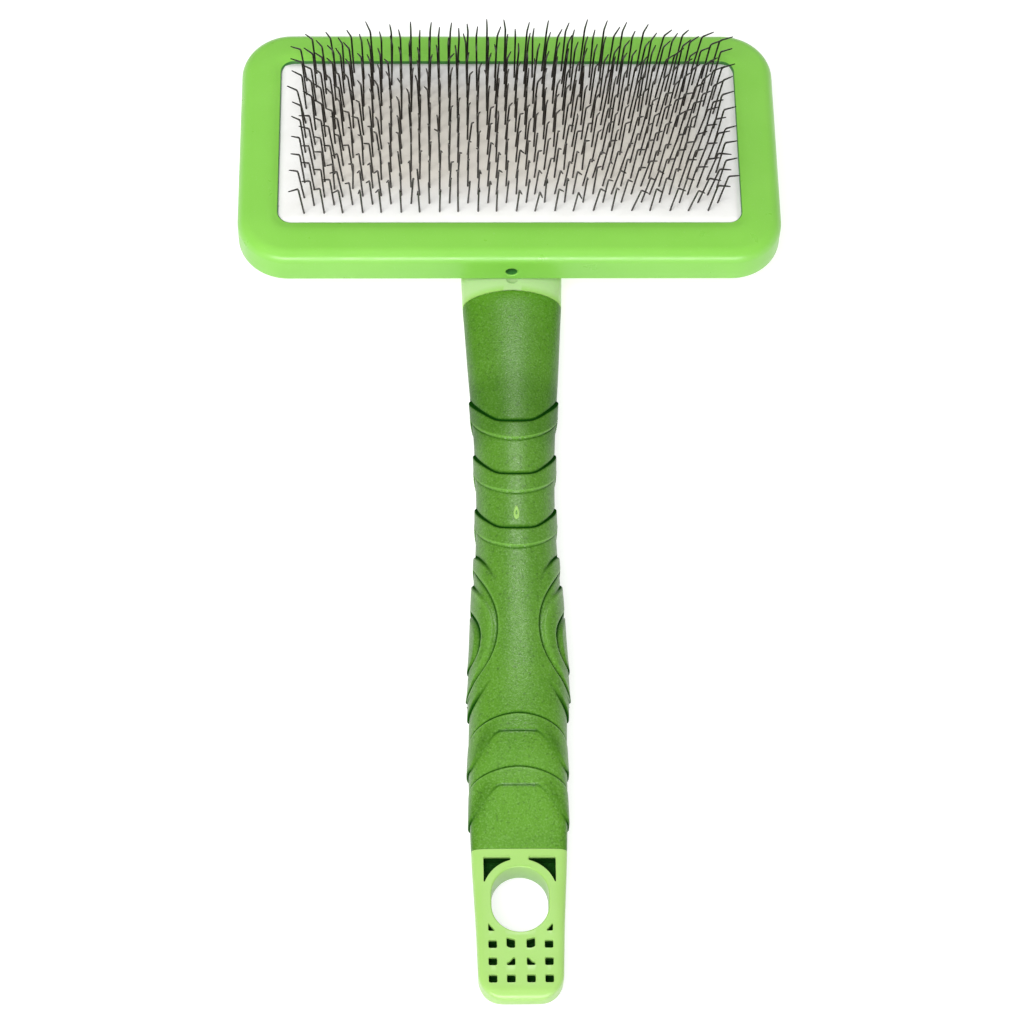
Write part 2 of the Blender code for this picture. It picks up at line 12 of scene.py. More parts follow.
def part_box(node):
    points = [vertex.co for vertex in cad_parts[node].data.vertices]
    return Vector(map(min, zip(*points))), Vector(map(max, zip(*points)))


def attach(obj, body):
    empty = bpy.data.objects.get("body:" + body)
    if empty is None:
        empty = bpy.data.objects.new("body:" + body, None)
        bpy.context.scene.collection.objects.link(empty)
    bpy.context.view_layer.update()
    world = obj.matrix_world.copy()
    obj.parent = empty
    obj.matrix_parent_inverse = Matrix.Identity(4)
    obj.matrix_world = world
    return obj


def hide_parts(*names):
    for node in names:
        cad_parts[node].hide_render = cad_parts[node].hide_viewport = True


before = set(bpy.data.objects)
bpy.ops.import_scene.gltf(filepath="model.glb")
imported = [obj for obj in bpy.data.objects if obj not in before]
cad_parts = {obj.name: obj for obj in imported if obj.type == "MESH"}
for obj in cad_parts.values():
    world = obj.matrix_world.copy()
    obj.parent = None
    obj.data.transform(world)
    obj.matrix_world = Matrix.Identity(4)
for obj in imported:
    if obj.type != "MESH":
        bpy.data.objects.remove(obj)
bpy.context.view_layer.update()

MM = 0.001


# ------ places read from the frame
def corners(node):
    """Return the low and high corners of a CAD node's box."""
    low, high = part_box(node)
    return Vector(low), Vector(high)


HEAD_LOW, HEAD_HIGH = corners("head_frame")
HEAD_Y = (HEAD_LOW.y + HEAD_HIGH.y) / 2.0
HEAD_HALF_X = (HEAD_HIGH.x - HEAD_LOW.x) / 2.0
HEAD_HALF_Y = (HEAD_HIGH.y - HEAD_LOW.y) / 2.0
FRAME_BACK_Z = HEAD_LOW.z
FRAME_FACE_Z = HEAD_HIGH.z
PAD_BACK_Z = corners("pin_pad")[0].z
PIN_TOP_Z = corners("pin_row_12")[1].z
TAIL_END_Y = corners("handle_body")[0].y
SLEEVE_FRONT_Y = corners("grip_sleeve")[1].y
SLEEVE_TAIL_Y = -83.6 * MM

# ------ sizes
HEAD_CORNER_RADIUS = 11.2 * MM
FRAME_BAR = 9.0 * MM
FRAME_WALL = 2.4 * MM
FRAME_EDGE_RADIUS = 3.2 * MM
FRAME_FLANGE = 1.2 * MM
WINDOW_CORNER_RADIUS = 3.0 * MM
VENT_RADIUS = 1.25 * MM
VENT_X = 0.3 * MM
VENT_Z = 13.7 * MM
SEAM = 0.12 * MM                   # the fine gap seen where two mouldings meet
CORNER_STEPS = 18                  # straight steps in each rounded corner of the head
ROUND_STEPS = 28                   # points round a small circle

SHELL_WALL = 2.2 * MM
SHELL_ROUND = 12.0 * MM

PAD_THICKNESS = 1.6 * MM
PAD_CROWN = 3.0 * MM
WINDOW_HALF_X = HEAD_HALF_X - FRAME_BAR
WINDOW_HALF_Y = HEAD_HALF_Y - FRAME_BAR

PIN_ROWS = 20
PIN_ROW_PITCH = 2.01 * MM
STAPLES_PER_ROW = 11
STAPLE_PITCH = 8.44 * MM
STAPLE_WIDTH = 4.4 * MM
STAGGER = 1.08 * MM
STAPLE_SEED = 7000
WIRE_RADIUS = 0.21 * MM
WIRE_SIDES = 8
END_TAPER = (0.3, 0.55, 0.85, 1.0)  # share of the wire's radius at its last points
LEG_LENGTH = 12.8 * MM
TIP_LENGTH = 6.2 * MM
KNEE_ANGLE = radians(29.0)
FAN_X = radians(110.0)             # sideways splay of the wires, per metre from the middle
FAN_Y = radians(620.0)             # splay along the handle, per metre
FAN_Y_LOSS = 0.55                  # share of FAN_Y lost where the dome flattens at its ends
LEAN_X = radians(1.6)              # the whole pinned area leans a little to the right
LEAN_Y = radians(-1.5)
ROW_TURN = radians(0.45)           # the rows are not quite square to the frame
EDGE_TIP_SPLAY = radians(14.0)     # tips at the short edges turn outwards
FAR_CORNER_LEAN = radians(12.0)    # wires at the far corners stand less far back
PIN_HALF_X = 46.0 * MM             # half width of the pinned area
PIN_SHIFT_X = 0.3 * MM
LEG_SPREAD = radians(1.2)          # standard deviations of the wires' angles and lengths
TIP_SPREAD = radians(2.5)
KNEE_SPREAD = radians(2.0)
LENGTH_SPREAD = 0.2 * MM
KNEE_RADIUS = 0.9 * MM
PIN_ROOT_Z = 19.0 * MM             # where the wires start, under the edge of the dome

HANDLE_BOW = 0.45 * MM             # the grip's middle line stands this far to the right
HANDLE_BOW_Y = -54.0 * MM
HANDLE_BOW_LENGTH = 24.0 * MM
SEAM_BEND = 1.6 * MM               # the sleeve's front edge bends back this far at its sides
SEAM_BEND_LENGTH = 4.0 * MM
GATE_Y = -8.7 * MM
SLEEVE_WALL = 2.0 * MM
TAIL_END_RADIUS = 5.2 * MM
TAIL_EDGE_RADIUS = 2.3 * MM
TAIL_RIM = 1.2 * MM
TAIL_PLATE = 3.0 * MM
TAIL_RECESS_FRONT_Y = -81.0 * MM
HANG_HOLE_Y = -94.3 * MM
HANG_HOLE_RADIUS = 5.7 * MM
HANG_HOLE_STRAIGHT = 2.4 * MM
HANG_HOLE_STEPS = 32
HANG_RING_RADIUS = 7.4 * MM
HANG_TUBE_RADIUS = 6.7 * MM
RING_LOW_Y = HANG_HOLE_Y - HANG_HOLE_STRAIGHT / 2.0
RING_HIGH_Y = HANG_HOLE_Y + HANG_HOLE_STRAIGHT / 2.0
POCKET_COLUMNS = (-5.55 * MM, -1.97 * MM, 1.97 * MM, 5.55 * MM)
POCKET_ROWS = 4
POCKET_FIRST_Y = -100.2 * MM
POCKET_PITCH_Y = 3.6 * MM
POCKET_SIZE = 1.65 * MM
POCKET_PLATE = 0.8 * MM            # the light plate in front of the soft-walled pockets
POCKET_UNDERCUT = 0.5 * MM
CORNER_POCKET_NEAR_X = 1.8 * MM
CORNER_POCKET_FAR_X = 7.2 * MM
CORNER_POCKET_Y = (-90.7 * MM, -85.3 * MM)
EJECTOR_PAD_X = 3.15 * MM
EJECTOR_PAD_Y = -106.0 * MM
EJECTOR_PAD_RADIUS = 1.7 * MM

# Relief of the grip, in millimetres.
BAND_COUNT = 3
BAND_FIRST_Y = 14.3                # crown of the U-shaped band nearest the head
BAND_PITCH = 13.55
BAND_LENGTH = 4.5
ARCH_COUNT = 2
ARCH_FIRST_Y = -56.0
ARCH_PITCH = 11.2
SCALLOP_PLACES = (-43.9, -50.4)

# Tones: how far a place is painted darker as shade (below zero) or paler as a sheen (above zero) than
# the open surface; on the pad, a tone above zero paints shade among the wires.
HOLLOW_TONE = -0.9
HOLE_TONE = -0.45
NECK_SHEEN_TONE = 0.5
PIN_SHADE_TONE = 0.8

# Sections of the handle: y, half width, underside z and top z in mm, and squareness.
HALF_WIDTH, UNDERSIDE, TOP, SQUARENESS = 1, 2, 3, 4
HANDLE_STATIONS = tuple(
    (y * MM, half * MM, low * MM, high * MM, squareness)
    for y, half, low, high, squareness in (
        (66.0, 11.4, 0.0, 10.7, 2.2),
        (52.0, 11.0, 0.0, 10.7, 2.2),
        (33.0, 10.0, 0.4, 12.4, 2.1),
        (12.0, 8.7, 0.8, 14.2, 2.1),
        (-8.0, 8.4, 0.7, 15.2, 2.1),
        (-30.0, 9.4, 0.2, 16.4, 2.2),
        (-50.0, 10.0, 0.0, 16.6, 2.4),
        (-68.0, 10.0, 1.4, 14.4, 3.2),
        (-84.0, 9.6, 4.6, 11.0, 6.0),
        (-100.0, 8.8, 4.6, 10.6, 7.0),
        (-115.0, 8.3, 4.8, 10.4, 7.0),
    )
)


# ------ node materials
class Shader:
    """A Principled material whose inputs are fed by procedural textures in object space."""

    def __init__(self, name, color, roughness, metallic=0.0):
        self.material = bpy.data.materials.new(name)
        self.material.use_nodes = True
        self.nodes = self.material.node_tree.nodes
        self.links = self.material.node_tree.links
        self.principled = self.nodes["Principled BSDF"]
        self.principled.inputs["Base Color"].default_value = (*color, 1.0)
        self.principled.inputs["Roughness"].default_value = roughness
        self.principled.inputs["Metallic"].default_value = metallic
        self.coords = self.nodes.new("ShaderNodeTexCoord")
        self.bump_chain = None

    def set(self, name, value):
        self.principled.inputs[name].default_value = value

    def mapping(self, scale):
        node = self.nodes.new("ShaderNodeMapping")
        node.inputs["Scale"].default_value = scale
        self.links.new(self.coords.outputs["Object"], node.inputs["Vector"])
        return node.outputs["Vector"]

    def noise(self, size, detail=3.0, stretch=(1.0, 1.0, 1.0)):
        """Noise whose features are about size across; stretch lengthens them along an axis."""
        node = self.nodes.new("ShaderNodeTexNoise")
        node.inputs["Scale"].default_value = 1.0
        node.inputs["Detail"].default_value = detail
        scale = tuple(1.0 / (size * s) for s in stretch)
        self.links.new(self.mapping(scale), node.inputs["Vector"])
        return node.outputs["Fac"]

    def cells(self, size):
        node = self.nodes.new("ShaderNodeTexVoronoi")
        node.inputs["Scale"].default_value = 1.0
        self.links.new(self.mapping((1.0 / size,) * 3), node.inputs["Vector"])
        return node.outputs["Distance"]

    def ramp(self, factor, low, high, from_min=0.3, from_max=0.7):
        """Map a texture's range to a number from low to high."""
        node = self.nodes.new("ShaderNodeMapRange")
        node.inputs["From Min"].default_value = from_min
        node.inputs["From Max"].default_value = from_max
        node.inputs["To Min"].default_value = low
        node.inputs["To Max"].default_value = high
        self.links.new(factor, node.inputs["Value"])
        return node.outputs["Result"]

    def mix(self, factor, first, second):
        """Blend two colours, each a tuple or another node's colour, by a texture."""
        node = self.nodes.new("ShaderNodeMix")
        node.data_type = "RGBA"
        self.links.new(factor, node.inputs["Factor"])
        for socket, value in (("A", first), ("B", second)):
            place = next(s for s in node.inputs if s.name == socket and s.type == "RGBA")
            if isinstance(value, tuple):
                place.default_value = (*value, 1.0)
            else:
                self.links.new(value, place)
        return next(s for s in node.outputs if s.type == "RGBA")

    def feed(self, name, output):
        self.links.new(output, self.principled.inputs[name])

    def bump(self, height, strength, distance):
        """Add one layer of relief on top of those already there."""
        node = self.nodes.new("ShaderNodeBump")
        node.inputs["Strength"].default_value = strength
        node.inputs["Distance"].default_value = distance
        self.links.new(height, node.inputs["Height"])
        if self.bump_chain is not None:
            self.links.new(self.bump_chain, node.inputs["Normal"])
        self.bump_chain = node.outputs["Normal"]
        self.links.new(self.bump_chain, self.principled.inputs["Normal"])


def tone_fac(shader, low, high):
    """Read the mesh's tone attribute, scaled so that low gives 0 and high gives 1."""
    node = shader.nodes.new("ShaderNodeAttribute")
    node.attribute_name = "tone"
    return shader.ramp(node.outputs["Fac"], 0.0, 1.0, low, high)


def shadow_green(color):
    """Return the darker, purer green that a colour takes in a deep crease."""
    red, green, blue = color
    return (0.08 * red, 0.24 * green, 0.4 * blue)


def moulded_plastic(name, light, deep, roughness):
    """Satin polypropylene: flow marks and a fine mould grain, with a painted sheen where the tone is
    above zero and painted shade where it is below.
    """
    shader = Shader(name, light, roughness)
    clouds = shader.ramp(shader.noise(14.0 * MM, 4.0), 0.0, 1.0)
    tint = shader.mix(clouds, light, deep)
    specks = shader.ramp(shader.noise(0.35 * MM, 2.0), 0.0, 0.3, 0.62, 0.8)
    tint = shader.mix(specks, tint, tuple(min(1.0, 0.8 * c + 0.15) for c in light))
    # Painted sheen: a tone above zero pales the colour.
    tint = shader.mix(tone_fac(shader, 0.0, 1.0), tint, tuple(0.55 * c + 0.4 for c in light))
    # Painted shade: a tone below zero turns the colour to a shadow green.
    creased = tone_fac(shader, 0.0, -1.0)
    shader.feed("Base Color", shader.mix(creased, tint, shadow_green(deep)))
    wear = shader.noise(5.0 * MM, 5.0)
    shader.feed("Roughness", shader.ramp(wear, roughness - 0.05, roughness + 0.08))
    shader.bump(shader.noise(0.5 * MM, 3.0), 0.12, 0.05 * MM)
    shader.bump(shader.noise(9.0 * MM, 2.0), 0.15, 0.2 * MM)
    shader.set("Specular IOR Level", 0.5)
    shader.set("Subsurface Weight", 0.06)
    shader.set("Subsurface Radius", (1.0, 1.6, 0.5))
    shader.set("Subsurface Scale", 1.2 * MM)
    return shader.material


def soft_grip(name, light, deep, sheen):
    """Thermoplastic rubber with a fine spark-eroded grain and small glints painted into its colour; its
    tone paints highlights and shade.
    """
    shader = Shader(name, light, 0.55)
    clouds = shader.ramp(shader.noise(9.0 * MM, 4.0), 0.0, 1.0)
    tint = shader.mix(clouds, light, deep)
    streaks = shader.ramp(shader.noise(1.1 * MM, 3.0, (1.0, 2.6, 1.0)), 0.0, 0.4)
    tint = shader.mix(streaks, tint, tuple(1.15 * c + 0.002 for c in light))
    # Painted glints: pale specks mixed into the base colour.
    glints = shader.ramp(shader.noise(0.4 * MM, 2.0), 0.0, 0.6, 0.48, 0.74)
    tint = shader.mix(glints, tint, tuple(1.3 * c + 0.28 * max(light) for c in light))
    pits = shader.ramp(shader.noise(0.6 * MM, 2.0, (1.0, 1.0, 1.3)), 0.5, 0.0, 0.3, 0.44)
    tint = shader.mix(pits, tint, tuple(0.45 * c for c in deep))
    # Painted highlights and sheen: a tone above zero pales the colour.
    painted_light = shader.ramp(tone_fac(shader, 0.0, 1.0), 0.0, 0.5, 0.0, 1.0)
    tint = shader.mix(painted_light, tint, tuple(2.0 * c + 0.3 * max(light) for c in light))
    # Painted shade: a tone below zero turns the colour to a shadow green.
    creased = tone_fac(shader, 0.0, -1.0)
    shader.feed("Base Color", shader.mix(creased, tint, shadow_green(deep)))
    shader.feed("Specular IOR Level", shader.ramp(creased, sheen, 0.0, 0.0, 0.8))
    shader.feed("Roughness", shader.ramp(shader.noise(0.6 * MM, 3.0), 0.28, 0.44))
    shader.bump(shader.noise(0.5 * MM, 3.0, (1.0, 0.7, 1.0)), 0.8, 0.09 * MM)
    shader.bump(shader.noise(2.2 * MM, 3.0), 0.25, 0.1 * MM)
    return shader.material


def pad_laminate(name):
    """White rubber-faced cloth: a matte skin over a fine crossed weave."""
    shader = Shader(name, (0.9, 0.9, 0.88), 0.62)
    clouds = shader.ramp(shader.noise(6.0 * MM, 4.0), 0.0, 1.0)
    tint = shader.mix(clouds, (0.92, 0.92, 0.9), (0.87, 0.87, 0.84))
    # Painted shade among the wires: a high tone turns the pad warm grey.
    shaded_middle = tone_fac(shader, 0.0, 1.0)
    shader.feed("Base Color", shader.mix(shaded_middle, tint, (0.84, 0.79, 0.69)))
    shader.feed("Roughness", shader.ramp(shader.noise(1.0 * MM, 3.0), 0.52, 0.7))
    warp = shader.noise(0.45 * MM, 1.0, (1.0, 5.0, 1.0))
    weft = shader.noise(0.45 * MM, 1.0, (5.0, 1.0, 1.0))
    shader.bump(warp, 0.25, 0.06 * MM)
    shader.bump(weft, 0.25, 0.06 * MM)
    return shader.material


def drawn_wire(name):
    """Dark hardened steel wire with drawing lines and a faint straw tint."""
    shader = Shader(name, (0.02, 0.019, 0.018), 0.34, metallic=1.0)
    tint = shader.ramp(shader.noise(3.0 * MM, 3.0), 0.0, 1.0)
    shader.feed("Base Color", shader.mix(tint, (0.016, 0.015, 0.014), (0.05, 0.042, 0.034)))
    lines = shader.noise(0.08 * MM, 2.0, (1.0, 1.0, 40.0))
    shader.feed("Roughness", shader.ramp(lines, 0.26, 0.46))
    shader.bump(lines, 0.15, 0.01 * MM)
    return shader.material


def fibre(name, light, deep, size, bump):
    """Felt or open foam: soft mottling and a rough, grainy surface."""
    shader = Shader(name, light, 0.95)
    mottle = shader.ramp(shader.noise(size * 4.0, 5.0), 0.0, 1.0)
    shader.feed("Base Color", shader.mix(mottle, light, deep))
    shader.feed("Roughness", shader.ramp(shader.noise(size, 3.0), 0.88, 1.0))
    shader.bump(shader.cells(size), 0.8, bump)
    return shader.material


# ------ mesh helpers
def link_object(name, data):
    """Put a new object that holds this data into the scene."""
    thing = bpy.data.objects.new(name, data)
    bpy.context.scene.collection.objects.link(thing)
    return thing


def set_tone(mesh, values):
    """Store each point's tone: below zero for painted shade in creases and hollows, above zero for
    painted highlights and sheen, and on the pad for painted shade among the wires.
    """
    tone = mesh.attributes.new("tone", "FLOAT", "POINT")
    tone.data.foreach_set("value", values)


def new_mesh(name, bm):
    """Move a bmesh into a new mesh."""
    mesh = bpy.data.meshes.new(name)
    bm.to_mesh(mesh)
    bm.free()
    return mesh


def add_piece(name, mesh, material, replaced, degrees=32.0):
    """Put a finished mesh into the scene as a piece of the brush."""
    mesh.name = name
    mesh.materials.clear()
    mesh.materials.append(material)
    mesh.shade_smooth()
    mesh.set_sharp_from_angle(angle=radians(degrees))
    piece = link_object(name, mesh)
    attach(piece, "root")
    if replaced:
        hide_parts(*replaced)
    return piece


def mesh_from_lofts(name, lofts, wrap=False):
    """Skin each list of rings of points, with flat ends, or joined end to start."""
    points = []
    faces = []
    for rings in lofts:
        start = len(points)
        count = len(rings[0])
        points += [tuple(point) for ring in rings for point in ring]
        for row in range(len(rings) if wrap else len(rings) - 1):
            here = start + row * count
            there = start + (row + 1) % len(rings) * count
            for i in range(count):
                j = (i + 1) % count
                faces.append((here + i, here + j, there + j, there + i))
        if not wrap:
            faces.append(tuple(range(start, start + count)))
            faces.append(tuple(range(len(points) - count, len(points))))
    mesh = bpy.data.meshes.new(name)
    mesh.from_pydata(points, [], faces)
    bm = bmesh.new()
    bm.from_mesh(mesh)
    bmesh.ops.recalc_face_normals(bm, faces=bm.faces)
    bm.to_mesh(mesh)
    bm.free()
    return mesh


def mesh_from_rings(name, rings, wrap=False):
    """Skin a single list of rings."""
    return mesh_from_lofts(name, [rings], wrap)


def combined(base, cutters, joined=()):
    """Return a new mesh: base with some meshes joined to it, and then others cut from it."""
    carrier = link_object("carrier", base)
    helpers = []
    steps = [("UNION", other) for other in joined] + [("DIFFERENCE", other) for other in cutters]
    for operation, other in steps:
        helpers.append(link_object("helper", other))
        modifier = carrier.modifiers.new("cut", "BOOLEAN")
        modifier.operation = operation
        modifier.solver = "EXACT"
        modifier.object = helpers[-1]
    graph = bpy.context.evaluated_depsgraph_get()
    mesh = bpy.data.meshes.new_from_object(carrier.evaluated_get(graph))
    for used in (carrier, *helpers):
        bpy.data.objects.remove(used, do_unlink=True)
    return mesh


def head_ring(inset, z):
    """The head's rounded outline, moved inwards by inset."""
    radius = max(HEAD_CORNER_RADIUS - inset, WINDOW_CORNER_RADIUS)
    points = []
    for corner in range(4):
        side_x = 1 if corner in (0, 3) else -1
        side_y = 1 if corner in (0, 1) else -1
        for step in range(CORNER_STEPS + 1):
            angle = pi / 2.0 * (corner + step / CORNER_STEPS)
            x = side_x * (HEAD_HALF_X - inset - radius) + radius * cos(angle)
            y = side_y * (HEAD_HALF_Y - inset - radius) + radius * sin(angle)
            points.append((x, HEAD_Y + y, z))
    return points


def turns(count):
    """Angles once round a circle, evenly spaced."""
    return [2.0 * pi * i / count for i in range(count)]


def arc(center, radius, start, end, steps):
    """Return points on an arc as (inset, z) pairs, leaving out its first point."""
    points = []
    for step in range(1, steps + 1):
        angle = radians(start + (end - start) * step / steps)
        points.append((center[0] + radius * cos(angle), center[1] + radius * sin(angle)))
    return points


# ------ handle sections
def step_up(distance, width):
    """Rise from 0 to 1 where distance passes 0, over the given width."""
    t = np.clip(distance / width + 0.5, 0.0, 1.0)
    return t * t * (3.0 - 2.0 * t)


def groove(distance, width):
    """A narrow dip, 1 deep, centred on distance 0."""
    return np.exp(-((distance / width) ** 2))


def station_value(y, column):
    """Read one column of HANDLE_STATIONS at y, on a smooth curve through the stations."""
    last = len(HANDLE_STATIONS) - 2
    index = 0
    while index < last and y < HANDLE_STATIONS[index + 1][0]:
        index += 1
    y0 = HANDLE_STATIONS[index][0]
    y1 = HANDLE_STATIONS[index + 1][0]
    v0 = HANDLE_STATIONS[index][column]
    v1 = HANDLE_STATIONS[index + 1][column]

    def slope(i):
        before = HANDLE_STATIONS[max(i - 1, 0)]
        after = HANDLE_STATIONS[min(i + 1, last + 1)]
        return (after[column] - before[column]) / (after[0] - before[0])

    t = (y - y0) / (y1 - y0)
    step = y1 - y0
    return (
        (2 * t**3 - 3 * t**2 + 1) * v0
        + (t**3 - 2 * t**2 + t) * step * slope(index)
        + (3 * t**2 - 2 * t**3) * v1
        + (t**3 - t**2) * step * slope(index + 1)
    )


def end_rounding(y, radius):
    """Return how far a rounding of this radius has pulled in at y, near the tail's end."""
    into_end = min(radius - (y - TAIL_END_Y), radius)
    if into_end <= 0.0:
        return 0.0
    return radius - sqrt(radius**2 - into_end**2)


def handle_bow(y):
    """Return how far the handle's middle line stands to the right of the tail's."""
    return HANDLE_BOW * float(step_up(y - HANDLE_BOW_Y, HANDLE_BOW_LENGTH))


def handle_outline(y, count, shrink=0.0):
    """Return x, z and the distance round from the side line, evenly spaced round a section.

    The points start at the right side line and run over the front, which faces up.
    """
    half_x = station_value(y, HALF_WIDTH) - end_rounding(y, TAIL_END_RADIUS) - shrink
    bottom = station_value(y, UNDERSIDE)
    top = station_value(y, TOP)
    half_z = (top - bottom) / 2.0 - end_rounding(y, TAIL_EDGE_RADIUS) - shrink
    power = 2.0 / station_value(y, SQUARENESS)
    angles = np.linspace(0.0, pi / 2.0, 400)
    quarter_x = half_x * np.cos(angles) ** power
    quarter_z = half_z * np.sin(angles) ** power
    quarter_x[-1] = 0.0
    steps = np.hypot(np.diff(quarter_x), np.diff(quarter_z))
    length = np.concatenate(([0.0], np.cumsum(steps)))
    places = np.linspace(0.0, length[-1], count // 4 + 1)
    x = np.interp(places, length, quarter_x)
    z = np.interp(places, length, quarter_z)
    around_x = np.concatenate((x, -x[-2::-1], -x[1:], x[-2:0:-1]))
    around_z = np.concatenate((z, z[-2::-1], -z[1:], -z[-2:0:-1]))
    from_side = np.concatenate((places, places[-2::-1], places[1:], places[-2:0:-1]))
    return around_x + handle_bow(y), around_z + (top + bottom) / 2.0, from_side


def seam_arch(y, from_side):
    """Return how far sections near the sleeve's front bend back towards their sides."""
    near_sides = (1.0 - from_side / from_side.max()) ** 1.3
    return -SEAM_BEND * near_sides * groove(y - SLEEVE_FRONT_Y, SEAM_BEND_LENGTH)


def handle_ring(y, count, shrink=0.0):
    """Return one section of the handle as points."""
    x, z, from_side = handle_outline(y, count, shrink)
    bent_y = y + seam_arch(y, from_side)
    return [(float(a), float(b), float(c)) for a, b, c in zip(x, bent_y, z)]


def spaced(start, end, pitch):
    """Return places from start to end, both included, about one pitch apart."""
    steps = max(1, round(abs(end - start) / pitch))
    return [start + (end - start) * i / steps for i in range(steps + 1)]


# ------ head frame
def build_head_bezel(material):
    """Bezel with a full round along its front edge and a soft slope down to the window."""
    edge = FRAME_EDGE_RADIUS
    back_edge = 0.4 * MM
    back_land = 3.0 * MM
    lip = 0.45 * MM
    slope_start = FRAME_BAR - 2.2 * MM
    slope_drop = 0.3 * MM
    face_fall = 0.55 * MM
    face_bow = 1.6
    quarters = (0.25, 0.5, 0.75, 1.0)
    flange_z = FRAME_FACE_Z - FRAME_FLANGE
    profile = [(back_edge, FRAME_BACK_Z)]
    profile += arc((back_edge, FRAME_BACK_Z + back_edge), back_edge, 270.0, 180.0, 4)
    outer_z = FRAME_FACE_Z - face_fall
    profile += [(0.0, FRAME_BACK_Z + back_land), (0.0, outer_z - edge)]
    profile += arc((edge, outer_z - edge), edge, 180.0, 95.0, 14)
    for share in quarters:
        rise = face_fall * (1.0 - (1.0 - share) ** face_bow)
        profile.append((edge + (slope_start - edge) * share, outer_z + rise))
    for share in quarters:
        inset = slope_start + (FRAME_BAR - lip - slope_start) * share
        profile.append((inset, FRAME_FACE_Z - slope_drop * share**2))
    top = FRAME_FACE_Z - slope_drop
    profile += arc((FRAME_BAR - lip, top - lip), lip, 90.0, 0.0, 6)
    profile += [(FRAME_BAR, flange_z), (FRAME_WALL, flange_z), (FRAME_WALL, FRAME_BACK_Z)]
    mesh = mesh_from_rings("bezel", [head_ring(inset, z) for inset, z in profile], wrap=True)

    rings = []
    for depth, flare in ((-1.0, 0.25), (0.0, 0.25), (0.12, 0.08), (0.3, 0.0), (4.0, 0.0)):
        radius = VENT_RADIUS + flare * MM
        ring = []
        for angle in turns(ROUND_STEPS):
            x = VENT_X + radius * cos(angle)
            ring.append((x, HEAD_LOW.y + depth * MM, VENT_Z + radius * sin(angle)))
        rings.append(ring)
    mesh = combined(mesh, [mesh_from_rings("vent", rings)])
    shade_hollows(mesh, top - 0.15 * lip)
    return add_piece("head_bezel", mesh, material, ["head_frame"])


def shade_hollows(mesh, below_z):
    """Mark the inner side of the window's lip and the vent, where little light reaches."""
    margin = 0.5 * MM

    def tone_at(x, y, z):
        near_window = abs(x) < WINDOW_HALF_X + margin and abs(y - HEAD_Y) < WINDOW_HALF_Y + margin
        in_lip = near_window and z < below_z
        near_vent = hypot(x - VENT_X, z - VENT_Z) < VENT_RADIUS * 1.1
        in_vent = near_vent and 0.2 * MM < y - HEAD_LOW.y < 2.0 * FRAME_WALL
        return HOLLOW_TONE if in_lip or in_vent else 0.0

    set_tone(mesh, [tone_at(*vert.co) for vert in mesh.vertices])


# ------ handle body
def shell_rings(extra_inset, bottom_z, top_z):
    """Rings of the rounded back, from its flat bottom to its straight rim."""
    inset = FRAME_WALL + SEAM + extra_inset
    ledge = FRAME_BACK_Z - SEAM
    rings = []
    steps = 14
    for step in range(steps + 1):
        angle = pi / 2.0 * (1.0 - step / steps)
        z = ledge * (1.0 - sin(angle))
        rings.append(head_ring(inset + SHELL_ROUND * (1.0 - cos(angle)), max(z, bottom_z)))
    rings.append(head_ring(inset, top_z))
    return rings


def grown(points, distance):
    """Move an outline's points outward by distance."""
    count = len(points)
    area = sum(
        points[i - 1][0] * points[i][1] - points[i][0] * points[i - 1][1] for i in range(count)
    )
    sign = 1.0 if area > 0.0 else -1.0
    moved = []
    for i in range(count):
        along_x = points[(i + 1) % count][0] - points[i - 1][0]
        along_y = points[(i + 1) % count][1] - points[i - 1][1]
        length = max(hypot(along_x, along_y), 1e-9)
        x = points[i][0] + sign * distance * along_y / length
        y = points[i][1] - sign * distance * along_x / length
        moved.append((x, y))
    return moved


def arch(x, center_x, radius):
    """Return the half height at x of a circle around center_x, or zero outside it."""
    return sqrt(max(radius**2 - (x - center_x) ** 2, 0.0))


def clipped_outline(left, right, low_at, high_at):
    """Outline between two curves, low_at(x) and high_at(x), where high_at is the larger."""
    low_points = []
    high_points = []
    samples = 25
    for i in range(samples):
        x = left + (right - left) * i / (samples - 1)
        if high_at(x) - low_at(x) > 0.12 * MM:
            low_points.append((x, low_at(x)))
            high_points.append((x, high_at(x)))
    return low_points + high_points[::-1]


def pocket_prism(outline, low, top):
    """Cutter for one pocket: flared at the front, and undercut behind a thin plate."""
    flare = 0.15 * MM
    under = grown(outline, POCKET_UNDERCUT)
    rings = [[(x, y, z) for x, y in under] for z in (low, top - POCKET_PLATE)]
    rings.append([(x, y, top - POCKET_PLATE + 0.01 * MM) for x, y in outline])
    for share in (0.0, 0.35, 0.65, 0.85, 1.0):
        angle = pi / 2.0 * share
        distance = flare * (1.0 - cos(angle))
        z = top - flare + flare * sin(angle)
        rings.append([(x, y, z) for x, y in grown(outline, distance)])
    rings.append([(x, y, top + 1.0 * MM) for x, y in grown(outline, flare)])
    return mesh_from_rings("pocket", rings)


def softened(points):
    """Space an outline's points evenly and round its corners a little."""
    spacing = 0.14 * MM
    closed = np.array(points + points[:1])
    steps = np.hypot(*np.diff(closed, axis=0).T)
    length = np.concatenate(([0.0], np.cumsum(steps)))
    places = np.linspace(0.0, length[-1], round(length[-1] / spacing), endpoint=False)
    even = np.stack([np.interp(places, length, closed[:, i]) for i in (0, 1)], axis=1)
    smooth = sum(np.roll(even, shift, axis=0) for shift in range(-2, 3)) / 5.0
    return [(float(x), float(y)) for x, y in smooth]


